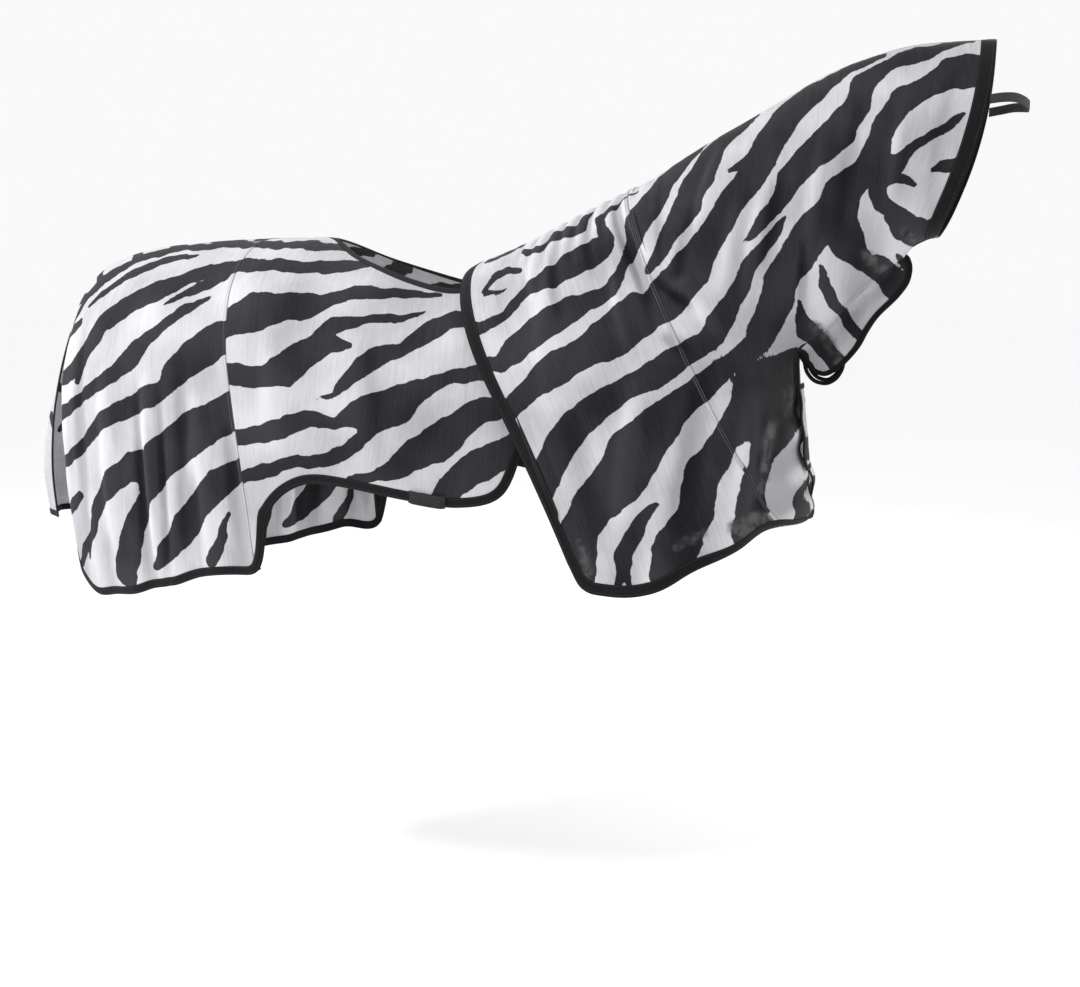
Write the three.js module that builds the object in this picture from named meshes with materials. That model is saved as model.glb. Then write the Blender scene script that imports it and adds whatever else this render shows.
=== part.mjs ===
// Riding fly rug for a horse: a quarter sheet with a saddle cut-out, and a neck-and-shoulder
// cover that overlaps it at the withers. Worn shape, millimetres.
// +X is the way the horse faces, +Y its left, +Z up. The origin is on the horse's back, on the
// midplane, under the place where the cover overlaps the sheet.
import * as THREE from 'three';

// ---------- driving dimensions ----------
const CLOTH = 3; // thickness of the cloth solids
const SEAM_GAP = 0.4; // free gap between two sewn pieces
const TAPE = 2; // thickness of the folded edge tape
const TAPE_LIFT = 1.3; // edge tape above the cloth
const EDGE_WIDTH = 20; // edge tape of the hems
const FACE_WIDTH = 28; // wider edge tape round the face
const THROAT_WIDTH = 16; // edge tape of the throat and of the flaps
const SEAM_WIDTH = 18; // tape that covers a seam inside
const PAD = 1.5; // thickness of a hook or a loop pad
const ROWS = 12; // facets from the topline to the hem
const STEPS = 2; // facets from one station to the next

const CLOTH_COLOUR = 0xdedee4;
const TAPE_COLOUR = 0x17171a;
const HOOK_COLOUR = 0x0c0c0e;
const LOOP_COLOUR = 0x222226;

// One cross-section of the rug. It runs in a straight or slightly bowed line from the topline
// to the hem when seen from the side, and is round over the back and plumb below.
function station(topX, topZ, hemX, hemZ, half, hemHalf, roundTo, tuckFrom, round, bow, open) {
  return { topX, topZ, hemX, hemZ, half, hemHalf, roundTo, tuckFrom, round, bow, open };
}

// Neck-and-shoulder cover, from its rear edge forward to the face.
//        top x, z   hem x, z    half, at hem  round, tuck, power, bow, open
const COVER = [
  station(-143, -42, 168, -642, 343, 343, 0.43, 0.3, 2, 12, 0),
  station(-122, -30, 197, -690, 344, 344, 0.43, 0.3, 2, 10, 0),
  station(-90, -16, 240, -703, 344, 344, 0.43, 0.3, 2, 8, 0),
  station(-30, 6, 320, -699, 342, 338, 0.44, 0.3, 2, 4, 0),
  station(80, 58, 425, -650, 328, 305, 0.46, 0.3, 2, 0, 0),
  station(170, 101, 535, -585, 302, 205, 0.5, 0.4, 2, 0, 0),
  station(255, 140, 609, -571, 280, 12, 0.5, 0.45, 1.9, 0, 0),
  station(330, 185, 590, -415, 250, 12, 0.5, 0.45, 1.9, 0, 0),
  station(395, 222, 572, -240, 215, 12, 0.5, 0.45, 1.9, 0, 0),
  station(445, 249, 612, -192, 190, 12, 0.5, 0.45, 1.8, 0, 0),
  station(520, 289, 672, -132, 165, 12, 0.5, 0.42, 1.8, 0, 0),
  station(620, 341, 735, -70, 140, 12, 0.5, 0.42, 1.8, 0, 0),
  station(710, 372, 775, -30, 125, 12, 0.5, 0.42, 1.8, 4, 0),
  station(800, 390, 800, -3, 114, 12, 0.52, 0.4, 1.8, 12, 0),
  station(943, 392, 850, 11, 108, 14, 0.52, 0.35, 1.8, 24, 0),
];

// Quarter sheet, from its rear edge forward to the edge under the cover. Its last number is
// the half width of the saddle cut-out at that station.
const SHEET = [
  station(-1192, -110, -1114, -665, 178, 180, 0.75, 0.3, 1.6, 0, 0),
  station(-1150, -65, -1090, -760, 235, 225, 0.6, 0.3, 1.8, 0, 0),
  station(-1075, -19, -1015, -802, 280, 262, 0.5, 0.3, 2, 0, 0),
  station(-975, 7, -900, -787, 308, 296, 0.48, 0.3, 2.1, 0, 0),
  station(-880, 17, -780, -757, 322, 312, 0.46, 0.3, 2.2, 0, 0),
  station(-750, 25, -665, -723, 328, 318, 0.46, 0.3, 2.2, 0, 0),
  station(-645, 27, -556, -709, 330, 320, 0.46, 0.3, 2.2, 0, 0),
  station(-568, 27, -520, -575, 332, 326, 0.5, 0.3, 2.2, 0, 0),
  station(-505, 25, -440, -512, 333, 330, 0.55, 0.3, 2.2, 0, 0),
  station(-400, -13, -330, -511, 334, 330, 0.58, 0.3, 2.2, 0, 92),
  station(-250, -43, -200, -530, 333, 329, 0.58, 0.3, 2.2, 0, 160),
  station(-120, -52, -80, -543, 326, 322, 0.56, 0.3, 2.1, 0, 178),
  station(-40, -20, 15, -515, 314, 310, 0.55, 0.3, 2, 0, 130),
  station(40, 12, 62, -405, 298, 294, 0.6, 0.3, 2, 0, 0),
];
const HIP_SEAM = 6; // station of the seam between hind panel and side panel
const NECK_SEAM = 5.5; // station of the seam between shoulder panel and neck panel
const SEAM_STEP = 0.004; // a seam's half gap, as a share of a station
const CUTOUT_FROM = 8; // station where the saddle cut-out begins
const HEM_CORNER = 6; // station of the cover's front bottom corner

// Underside of the neck, where the throat flaps hang.
const NECK_LOW = { x: 576, z: -236 };
const NECK_HIGH = { x: 792, z: -20 };
const FLAP_Y = 3.5; // middle of each throat flap, either side of the midplane
const FLAP_DROP = 8; // flap edge below the neck's underside
const GRIP = { long: 170, tall: 18, thick: 1.3, along: 150, drop: 33, out: 0.95 };

// Chest flap, leaning back a little with the chest edge.
const CHEST_FOOT = { x: 609, z: -571 };
const CHEST_LEAN = Math.atan2(37, 331);
const CHEST_FLAP = { from: 100, to: 280, left: 16, right: -59, standOff: 10 };

// Girth tab on the flank hem.
const GIRTH = { station: 10.45, long: 78, tall: 25, thick: 3, lift: 12, standOff: 11.6 };

// Tail flap: a round-backed panel that hangs behind the croup.
const TAIL = [
  { z: -150, x: -1216, half: 42, deep: 8 },
  { z: -235, x: -1250, half: 62, deep: 26 },
  { z: -330, x: -1288, half: 76, deep: 46 },
  { z: -430, x: -1322, half: 84, deep: 62 },
  { z: -540, x: -1338, half: 88, deep: 72 },
  { z: -668, x: -1326, half: 86, deep: 70 },
];

// Brow strap, from the face tape round the forehead. Its middle is flat.
const BROW = [
  [937, 103, 266], [962, 96, 269], [985, 76, 270], [1003, 47, 266], [1012, 18, 262],
];
const BROW_WIDTH = 18;
const BROW_THICK = 2.5;

// ---------- curves through the stations ----------
// Smooth curve through a list of values; t counts the list's places.
function through(values, t) {
  const last = values.length - 1;
  const at = Math.min(Math.max(t, 0), last - 1e-9);
  const i = Math.floor(at);
  const f = at - i;
  const b = values[i];
  const c = values[Math.min(i + 1, last)];
  const a = i > 0 ? values[i - 1] : 2 * b - c;
  const d = i + 2 <= last ? values[i + 2] : 2 * c - b;
  const cubic = -a + 3 * b - 3 * c + d;
  const square = 2 * a - 5 * b + 4 * c - d;
  return 0.5 * (2 * b + (c - a) * f + square * f * f + cubic * f * f * f);
}

// A quarter of a superellipse: 0 at 0, 1 from 1 on.
function quarterRound(v, power) {
  const w = Math.min(Math.max(v, 0), 1);
  return Math.pow(1 - Math.pow(1 - w, power), 1 / power);
}

// Rows lie closer together at the topline and at the hem.
const spread = (t) => 0.5 * (1 - Math.cos(Math.PI * t));

function makeForm(stations) {
  const read = (key, s) => through(stations.map((each) => each[key]), s);
  const last = stations.length - 1;

  // Row parameter where the cloth starts: 0 at the topline, more where it is cut out.
  function startRow(s) {
    const open = Math.max(read('open', s), 0);
    const round = read('round', s);
    const v = 1 - Math.pow(1 - Math.pow(open / read('half', s), round), 1 / round);
    return v * read('roundTo', s);
  }

  // Point of the rug's outer face. side is -1 on the right and 1 on the left.
  function point(s, t, side) {
    const start = startRow(s);
    const u = start + (1 - start) * spread(t);
    const half = read('half', s);
    const hemShare = read('hemHalf', s) / half;
    const over = quarterRound(u / read('roundTo', s), read('round', s));
    const under = hemShare + (1 - hemShare) * quarterRound((1 - u) / read('tuckFrom', s), 2);
    const top = [read('topX', s), read('topZ', s)];
    const hem = [read('hemX', s), read('hemZ', s)];
    const bow = read('bow', s) * 4 * u * (1 - u);
    const x = top[0] + (hem[0] - top[0]) * u + bow;
    const z = top[1] + (hem[1] - top[1]) * u;
    return new THREE.Vector3(x, side * (SEAM_GAP / 2 + half * over * under), z);
  }

  // Outward normal, from two short steps along the surface.
  function normal(s, t, side) {
    const step = 0.01;
    const s0 = Math.min(Math.max(s - step, 0), last - 2 * step);
    const t0 = Math.min(Math.max(t - step, 0.004), 0.996 - 2 * step);
    const along = point(s0 + 2 * step, t, side).sub(point(s0, t, side));
    const down = point(s, t0 + 2 * step, side).sub(point(s, t0, side));
    return along.cross(down).multiplyScalar(side).normalize();
  }
  return { point, normal, last };
}

const cover = makeForm(COVER);
const sheet = makeForm(SHEET);

// ---------- solids ----------
function signedVolume(points, faces) {
  let sum = 0;
  for (const [a, b, c] of faces) {
    sum += points[a].dot(new THREE.Vector3().crossVectors(points[b], points[c]));
  }
  return sum / 6;
}

function solidOf(points, faces) {
  const inward = signedVolume(points, faces) < 0;
  const index = faces.flatMap(([a, b, c]) => (inward ? [a, c, b] : [a, b, c]));
  const geometry = new THREE.BufferGeometry();
  const flat = points.flatMap((each) => [each.x, each.y, each.z]);
  geometry.setAttribute('position', new THREE.Float32BufferAttribute(flat, 3));
  geometry.setIndex(index);
  geometry.computeVertexNormals();
  return geometry;
}

// A closed plate between two matching grids of points.
function plateBetween(outer, inner) {
  const columns = outer.length;
  const rows = outer[0].length;
  const points = [...outer.flat(), ...inner.flat()];
  const top = (i, j) => i * rows + j;
  const low = (i, j) => columns * rows + top(i, j);
  const faces = [];
  const quad = (a, b, c, d) => faces.push([a, b, c], [a, c, d]);
  for (let i = 0; i < columns - 1; i += 1) {
    for (let j = 0; j < rows - 1; j += 1) {
      quad(top(i, j), top(i + 1, j), top(i + 1, j + 1), top(i, j + 1));
      quad(low(i, j), low(i, j + 1), low(i + 1, j + 1), low(i + 1, j));
    }
    quad(top(i + 1, 0), top(i, 0), low(i, 0), low(i + 1, 0));
    quad(top(i, rows - 1), top(i + 1, rows - 1), low(i + 1, rows - 1), low(i, rows - 1));
  }
  for (let j = 0; j < rows - 1; j += 1) {
    quad(top(0, j), top(0, j + 1), low(0, j + 1), low(0, j));
    quad(top(columns - 1, j + 1), top(columns - 1, j), low(columns - 1, j), low(columns - 1, j + 1));
  }
  return solidOf(points, faces);
}

const evenly = (from, to, steps) =>
  Array.from({ length: steps + 1 }, (_, i) => from + ((to - from) * i) / steps);

// Moves a point that has crossed the midplane's gap back to its own side.
function keepSide(point, side) {
  point.y = side * Math.max(side * point.y, SEAM_GAP / 2);
  return point;
}

// Cloth between stations s0 and s1 and rows t0 and t1, lifted off the form along its normal.
function cloth(form, side, [s0, s1], [t0, t1], lift, thickness, columns, rows) {
  const outer = [];
  const inner = [];
  for (const s of evenly(s0, s1, columns)) {
    const high = [];
    const deep = [];
    for (const t of evenly(t0, t1, rows)) {
      const point = form.point(s, t, side);
      const normal = form.normal(s, t, side);
      high.push(keepSide(point.clone().addScaledVector(normal, lift), side));
      deep.push(keepSide(point.clone().addScaledVector(normal, lift - thickness), side));
    }
    outer.push(high);
    inner.push(deep);
  }
  return plateBetween(outer, inner);
}

// Tape that lies on the outside of an edge. The route lists places { s, t, inS, inT }: a place
// on the edge, and the grid place inside it that the tape's width points to.
function edgeTape(form, side, route, width) {
  const outer = [];
  const inner = [];
  for (const { s, t, inS, inT } of route) {
    const edge = form.point(s, t, side);
    const toward = form.point(inS, inT, side).sub(edge).normalize();
    const normal = form.normal(s, t, side);
    normal.addScaledVector(toward, -normal.dot(toward)).normalize();
    const near = edge.clone().addScaledVector(normal, TAPE_LIFT);
    const far = near.clone().addScaledVector(toward, width);
    outer.push([near, far].map((each) => each.clone().addScaledVector(normal, TAPE)));
    inner.push([near, far]);
  }
  return plateBetween(outer, inner);
}

// Tape routes: down or up the cloth's edge at station s, and along it at row t.
const COLUMN = 1 / STEPS;
const ROW = 1 / ROWS;

function downEdge(s, t0, t1, inStep) {
  const places = evenly(t0, t1, Math.round(Math.abs(t1 - t0) * ROWS));
  return places.map((t) => ({ s, t, inS: s + inStep, inT: t }));
}

function alongEdge(t, s0, s1, inStep) {
  const places = evenly(s0, s1, Math.round(Math.abs(s1 - s0) * STEPS));
  return places.map((s) => ({ s, t, inS: s, inT: t + inStep }));
}

// Flat bar of the given size, centred on its own origin.
const bar = (x, y, z) => new THREE.BoxGeometry(x, y, z);

// ---------- materials and naming ----------
const rug = new THREE.Group();

function finish(colour, roughness) {
  return new THREE.MeshStandardMaterial({ color: colour, roughness, metalness: 0 });
}

function add(name, geometry, colour, roughness, parent = rug) {
  const mesh = new THREE.Mesh(geometry, finish(colour, roughness));
  mesh.name = name;
  parent.add(mesh);
  return mesh;
}

const sides = [
  { word: 'right', side: -1 },
  { word: 'left', side: 1 },
];

// ---------- neck-and-shoulder cover ----------
function coverPanels({ word, side }) {
  const shoulderColumns = Math.round(NECK_SEAM * STEPS);
  const neckColumns = Math.round((cover.last - NECK_SEAM) * STEPS);
  const shoulder = cloth(cover, side, [0, NECK_SEAM - SEAM_STEP], [0, 1], 0, CLOTH, shoulderColumns, ROWS);
  add(`shoulder_panel_${word}`, shoulder, CLOTH_COLOUR, 0.85);
  const neck = cloth(cover, side, [NECK_SEAM + SEAM_STEP, cover.last], [0, 1], 0, CLOTH, neckColumns, ROWS);
  add(`neck_panel_${word}`, neck, CLOTH_COLOUR, 0.85);
  const tape = innerSeamTape(cover, side, NECK_SEAM, 5.5);
  add(`neck_seam_tape_${word}`, tape, TAPE_COLOUR, 0.9);
}

function coverEdges({ word, side }) {
  const rear = downEdge(0, 0, 1, COLUMN);
  const hem = alongEdge(1, COLUMN, HEM_CORNER - COLUMN, -ROW);
  const edge = edgeTape(cover, side, [...rear, ...hem], EDGE_WIDTH);
  add(`cover_edge_tape_${word}`, edge, TAPE_COLOUR, 0.9);
  const face = edgeTape(cover, side, downEdge(cover.last, 0, 1, -COLUMN), FACE_WIDTH);
  add(`face_tape_${word}`, face, TAPE_COLOUR, 0.9);
  const throatRoute = alongEdge(1, cover.last - 1, cover.last - 1.1 * COLUMN, -ROW);
  const throat = edgeTape(cover, side, throatRoute, THROAT_WIDTH);
  add(`throat_edge_tape_${word}`, throat, TAPE_COLOUR, 0.9);
}

// Tape sewn inside over the seam at station s, clear of the cloth's facets by the given gap.
function innerSeamTape(form, side, s, gap) {
  const wide = 0.12;
  return cloth(form, side, [s - wide, s + wide], [ROW, 1 - ROW], -CLOTH - gap, PAD, 2, ROWS - 2);
}

// Tape sewn inside over the midline seam of a form.
function seamTape(form, s0, s1) {
  const outer = [];
  const inner = [];
  for (const s of evenly(s0, s1, Math.round((s1 - s0) * STEPS))) {
    const top = form.point(s, 0, 1);
    const normal = form.normal(s, 0, 1);
    normal.y = 0;
    normal.normalize();
    const rim = (depth) => [-0.5, 0.5].map((share) => {
      const place = top.clone().addScaledVector(normal, -depth);
      place.y = share * SEAM_WIDTH;
      return place;
    });
    outer.push(rim(CLOTH + 4));
    inner.push(rim(CLOTH + 4 + PAD));
  }
  return plateBetween(outer, inner);
}

function browStrap() {
  const half = BROW.map(([x, y, z]) => new THREE.Vector3(x, y, z));
  const mirrored = half.map((each) => each.clone().multiply(new THREE.Vector3(1, -1, 1)));
  const route = [...mirrored, ...half.reverse()];
  const outer = [];
  const inner = [];
  route.forEach((place, i) => {
    const before = route[Math.max(i - 1, 0)];
    const after = route[Math.min(i + 1, route.length - 1)];
    const along = after.clone().sub(before).normalize();
    const away = new THREE.Vector3().crossVectors(along, new THREE.Vector3(0, 0, 1)).normalize();
    const rim = (depth) => [-0.5, 0.5].map((share) => {
      const corner = place.clone().addScaledVector(away, depth);
      corner.z += share * BROW_WIDTH;
      return corner;
    });
    outer.push(rim(0));
    inner.push(rim(-BROW_THICK));
  });
  return plateBetween(outer, inner);
}

// Loop pad inside the cover and hook pad on the sheet, where the two join at the withers.
function withersPads({ word, side }) {
  const loop = cloth(cover, side, [2, 2.5], [3 * ROW, 4 * ROW], -CLOTH - 0.6, PAD, 1, 1);
  add(`withers_loop_pad_${word}`, loop, LOOP_COLOUR, 0.95);
  const hook = cloth(sheet, side, [12, 12.5], [3 * ROW, 4 * ROW], PAD + 0.6, PAD, 1, 1);
  add(`withers_hook_pad_${word}`, hook, HOOK_COLOUR, 0.8);
}

// ---------- throat flaps ----------
const neckRise = Math.atan2(NECK_HIGH.z - NECK_LOW.z, NECK_HIGH.x - NECK_LOW.x);
const neckLength = Math.hypot(NECK_HIGH.x - NECK_LOW.x, NECK_HIGH.z - NECK_LOW.z);

// Outline beside the neck's underside: x runs up the neck from its low end, y hangs away.
function throatOutline(inset) {
  const shape = new THREE.Shape();
  shape.moveTo(inset, -FLAP_DROP - inset);
  shape.lineTo(inset, -30);
  shape.bezierCurveTo(inset, -58, 16, -76 + inset, 52, -76 + inset);
  shape.bezierCurveTo(100, -76 + inset, 130, -54 + inset, 176, -52 + inset);
  shape.bezierCurveTo(232, -50 + inset, 258, -52 + inset, 280, -34 + inset);
  shape.bezierCurveTo(290 - inset, -26, 296 - inset, -16, neckLength - 4 - inset, -FLAP_DROP - inset);
  shape.closePath();
  return shape;
}

// Group whose own x runs up the neck's underside, y up and away from it, z to the right.
function neckGroup() {
  const group = new THREE.Group();
  group.position.set(NECK_LOW.x, 0, NECK_LOW.z);
  group.rotation.set(Math.PI / 2, 0, 0);
  const turn = new THREE.Group();
  turn.rotation.z = neckRise;
  group.add(turn);
  rug.add(group);
  return turn;
}

// A band along the flap's lower edge, between two insets of its outline.
function throatBand(wide, near, thickness) {
  const places = (inset) => throatOutline(inset).getPoints(8).slice(1, -1);
  const outerEdge = places(near);
  const innerEdge = places(near + wide);
  const shape = new THREE.Shape([...outerEdge, ...innerEdge.reverse()]);
  return new THREE.ExtrudeGeometry(shape, { depth: thickness, bevelEnabled: false });
}

function throatFlap({ word, side }) {
  const place = neckGroup();
  const flapShape = throatOutline(0);
  const flap = new THREE.ExtrudeGeometry(flapShape, { depth: CLOTH, bevelEnabled: false, curveSegments: 8 });
  flap.translate(0, 0, -side * FLAP_Y - CLOTH / 2);
  add(`throat_flap_${word}`, flap, CLOTH_COLOUR, 0.85, place);
  const tape = throatBand(THROAT_WIDTH, 1, TAPE);
  tape.translate(0, 0, -side * (FLAP_Y + CLOTH / 2 + 0.4 + TAPE / 2) - TAPE / 2);
  add(`throat_flap_tape_${word}`, tape, TAPE_COLOUR, 0.9, place);
  const grip = bar(GRIP.long, GRIP.tall, GRIP.thick);
  grip.translate(GRIP.along, -GRIP.drop, -side * GRIP.out);
  const kind = side < 0 ? 'hook' : 'loop';
  add(`throat_${kind}_strip`, grip, side < 0 ? HOOK_COLOUR : LOOP_COLOUR, 0.9, place);
}

// ---------- chest flap ----------
function chestClosure() {
  const place = new THREE.Group();
  place.position.set(CHEST_FOOT.x, 0, CHEST_FOOT.z);
  place.rotation.y = -CHEST_LEAN;
  rug.add(place);
  const tall = CHEST_FLAP.to - CHEST_FLAP.from;
  const wide = CHEST_FLAP.left - CHEST_FLAP.right;
  const midZ = (CHEST_FLAP.to + CHEST_FLAP.from) / 2;
  const midY = (CHEST_FLAP.left + CHEST_FLAP.right) / 2;
  const strips = [
    ['chest_loop_strip', PAD, 30, tall - 30, CHEST_FLAP.standOff - 5.8, CHEST_FLAP.right + 19, LOOP_COLOUR],
    ['chest_hook_strip', PAD, 30, tall - 30, CHEST_FLAP.standOff - 3.4, CHEST_FLAP.right + 19, HOOK_COLOUR],
    ['chest_flap', CLOTH, wide, tall, CHEST_FLAP.standOff, midY, CLOTH_COLOUR],
    ['chest_flap_tape', TAPE, THROAT_WIDTH, tall, CHEST_FLAP.standOff + 3.4, CHEST_FLAP.right + 8, TAPE_COLOUR],
  ];
  for (const [name, thick, across, high, forward, y, colour] of strips) {
    const shape = bar(thick, across, high);
    shape.translate(forward, y, midZ);
    add(name, shape, colour, 0.9, place);
  }
}

// ---------- quarter sheet ----------
function sheetPanels({ word, side }) {
  const hindColumns = Math.round(HIP_SEAM * STEPS);
  const sideColumns = Math.round((sheet.last - HIP_SEAM) * STEPS);
  const hind = cloth(sheet, side, [0, HIP_SEAM - SEAM_STEP], [0, 1], 0, CLOTH, hindColumns, ROWS);
  add(`hind_panel_${word}`, hind, CLOTH_COLOUR, 0.85);
  const flank = cloth(sheet, side, [HIP_SEAM + SEAM_STEP, sheet.last], [0, 1], 0, CLOTH, sideColumns, ROWS);
  add(`side_panel_${word}`, flank, CLOTH_COLOUR, 0.85);
  add(`hip_seam_tape_${word}`, innerSeamTape(sheet, side, HIP_SEAM, 2), TAPE_COLOUR, 0.9);
}

function sheetEdges({ word, side }) {
  const rear = downEdge(0, 0, 1, COLUMN);
  const hem = alongEdge(1, COLUMN, sheet.last - COLUMN, -ROW);
  const front = downEdge(sheet.last, 1, ROW, -COLUMN);
  add(`hem_tape_${word}`, edgeTape(sheet, side, [...rear, ...hem, ...front], EDGE_WIDTH), TAPE_COLOUR, 0.9);
  const cut = alongEdge(0, CUTOUT_FROM, sheet.last - COLUMN, ROW);
  add(`saddle_edge_tape_${word}`, edgeTape(sheet, side, cut, EDGE_WIDTH), TAPE_COLOUR, 0.9);
}

// Girth tab over the flank hem, closed on its loop pad. The group's x runs along the hem, its y
// away from the horse's side and its z up the cloth.
function girthTab({ word, side }) {
  const foot = sheet.point(GIRTH.station, 1, side);
  const along = sheet.point(GIRTH.station + 0.2, 1, side);
  along.sub(sheet.point(GIRTH.station - 0.2, 1, side)).normalize();
  const out = new THREE.Vector3(0, side, 0);
  out.addScaledVector(along, -out.dot(along)).normalize();
  const up = new THREE.Vector3().crossVectors(along, out).multiplyScalar(side);
  const place = new THREE.Group();
  place.matrixAutoUpdate = false;
  place.matrix.makeBasis(along, out.clone().multiplyScalar(side), up).setPosition(foot);
  rug.add(place);
  const layers = [
    [`girth_loop_pad_${word}`, GIRTH.long - 18, 1.2, GIRTH.tall - 7, GIRTH.standOff - 4.8, LOOP_COLOUR],
    [`girth_hook_pad_${word}`, GIRTH.long - 18, 1.2, GIRTH.tall - 7, GIRTH.standOff - 3, HOOK_COLOUR],
    [`girth_tab_${word}`, GIRTH.long, GIRTH.thick, GIRTH.tall, GIRTH.standOff - 0.3, TAPE_COLOUR],
  ];
  for (const [name, long, thick, tall, from, colour] of layers) {
    const shape = bar(long, thick, tall);
    shape.translate(0, side * (from + thick / 2), GIRTH.lift);
    add(name, shape, colour, 0.9, place);
  }
}

// ---------- tail flap ----------
function tailPoint(down, across) {
  const at = down * (TAIL.length - 1);
  const read = (key) => through(TAIL.map((each) => each[key]), at);
  const y = read('half') * across;
  return new THREE.Vector3(read('x') + read('deep') * across * across, y, read('z'));
}

// Plate on the tail flap's outer face; across runs from -1 at its right edge to 1.
function tailPlate([down0, down1], [across0, across1], lift, thickness, columns, rows) {
  const grids = [lift, lift - thickness].map((height) =>
    evenly(down0, down1, columns).map((down) => evenly(across0, across1, rows).map((across) => {
      const step = 0.01;
      const alongDown = tailPoint(down + step, across).sub(tailPoint(down - step, across));
      const alongAcross = tailPoint(down, across + step).sub(tailPoint(down, across - step));
      const normal = alongAcross.cross(alongDown).normalize();
      return tailPoint(down, across).addScaledVector(normal, height);
    })));
  return plateBetween(grids[0], grids[1]);
}

function tailFlap() {
  add('tail_flap', tailPlate([0.01, 0.99], [-0.99, 0.99], 0, CLOTH, 10, 8), CLOTH_COLOUR, 0.85);
  const lift = TAPE_LIFT + TAPE;
  add('tail_flap_hem_tape', tailPlate([0.955, 0.99], [-0.99, 0.99], lift, TAPE, 1, 8), TAPE_COLOUR, 0.9);
  for (const { word, side } of sides) {
    const strip = tailPlate([0.05, 0.945], [side * 0.84, side * 0.99], lift, TAPE, 9, 1);
    add(`tail_flap_side_tape_${word}`, strip, TAPE_COLOUR, 0.9);
  }
}

for (const each of sides) {
  coverPanels(each);
  coverEdges(each);
  withersPads(each);
  throatFlap(each);
  sheetPanels(each);
  sheetEdges(each);
  girthTab(each);
}
add('crest_seam_tape', seamTape(cover, 4.5, cover.last - 0.2), TAPE_COLOUR, 0.9);
add('croup_seam_tape', seamTape(sheet, 0.5, CUTOUT_FROM - 0.5), TAPE_COLOUR, 0.9);
add('brow_strap', browStrap(), TAPE_COLOUR, 0.8);
chestClosure();
tailFlap();

export default rug;
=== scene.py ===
"""Looks of a riding fly rug: zebra mesh cloth, black binding, seams, flaps, pads and brow strap.

Metres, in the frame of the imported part: +X is the way the horse faces, +Y its left, +Z up.
"""
import math

import bpy
import numpy as np
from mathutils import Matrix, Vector


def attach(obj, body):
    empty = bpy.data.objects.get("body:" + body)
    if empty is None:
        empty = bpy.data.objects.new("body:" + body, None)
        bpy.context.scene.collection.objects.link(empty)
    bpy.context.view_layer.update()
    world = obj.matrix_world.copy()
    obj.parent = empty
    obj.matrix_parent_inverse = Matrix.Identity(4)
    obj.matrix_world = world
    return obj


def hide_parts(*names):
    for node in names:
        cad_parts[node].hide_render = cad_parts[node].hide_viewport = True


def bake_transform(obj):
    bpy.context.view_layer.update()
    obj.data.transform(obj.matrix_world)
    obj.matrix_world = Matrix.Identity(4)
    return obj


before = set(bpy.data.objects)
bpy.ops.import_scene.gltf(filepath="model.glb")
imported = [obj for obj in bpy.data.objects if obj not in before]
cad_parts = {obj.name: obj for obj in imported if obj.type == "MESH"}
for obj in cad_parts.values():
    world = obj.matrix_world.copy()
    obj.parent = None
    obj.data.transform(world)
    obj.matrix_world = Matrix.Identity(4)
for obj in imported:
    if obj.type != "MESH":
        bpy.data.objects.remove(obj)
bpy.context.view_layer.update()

MM = 0.001
CM = 0.01
SIDES = (("right", -1), ("left", 1))
LEFT = np.array([0, 1.0, 0])
UP = np.array([0, 0, 1.0])

# ---------- sizes ----------
CLOTH = 1.1 * MM  # mesh cloth, doubled print included
BINDING = 1.0 * MM  # thickness of the folded tape on one face
PROUD = BINDING + 0.5 * MM  # lift of the folded tape's outer face
EDGE_WIDTH = 20 * MM
FACE_WIDTH = 28 * MM
COVER_WIDTH = 24 * MM
CHEST_WIDTH = 7 * MM
FLAP_WIDTH = 10 * MM
SMALL_WIDTH = 9 * MM
SMALL_ROW = 6.8 * MM  # stitches on a small binding, from the edge
TAIL_WIDTH = EDGE_WIDTH * 0.7
SEAM_TAPE_HALF = 9 * MM
GRID = 8.5 * MM  # size of the cloth's mesh
TAPE_STEP = 7 * MM
FLAP_STEP = 4 * MM
PAD_GRID = 4 * MM
PAD_LIFT = -CLOTH - 0.2 * MM  # a flap's pad is on its inner face
PAD_THICK = 1.2 * MM
STITCH = 3.0 * MM  # one stitch
STITCH_PITCH = 4.4 * MM
STITCH_LIFT = 0.65 * MM
THREAD = 0.33 * MM  # radius of the sewing thread
THREAD_SIDES = 5
# each fold's depth sets how much painted shade and painted highlight the cloth's colour gets
FOLD_DEPTH = 5.0 * MM  # a fold this deep has its full shade

# ---------- camera, floor and light ----------
LOOK_AZIMUTH = 18.0
LOOK_DOWN = 8.5
CAMERA_PLACE = (0.93, -2.87, -0.105)
CAMERA_LENS = 44.33
GROUND = -1.515  # the horse's hooves stand here
FLOOR_SIZE = 160
SKY_STRENGTH = 0.95


def make_camera():
    camera = bpy.data.cameras.new("camera")
    camera.lens = CAMERA_LENS
    camera.sensor_width = 36.0
    eye = bpy.data.objects.new("camera", camera)
    eye.location = CAMERA_PLACE
    eye.rotation_euler = (math.radians(90 - LOOK_DOWN), 0, math.radians(LOOK_AZIMUTH))
    bpy.context.scene.collection.objects.link(eye)
    bpy.context.scene.camera = eye


def area_light(name, place, aim, size, power):
    light = bpy.data.lights.new(name, "AREA")
    light.shape = "DISK"
    light.size = size
    light.energy = power
    lamp = bpy.data.objects.new(name, light)
    lamp.location = place
    lamp.rotation_euler = (Vector(aim) - Vector(place)).to_track_quat("-Z", "Y").to_euler()
    bpy.context.scene.collection.objects.link(lamp)


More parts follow.
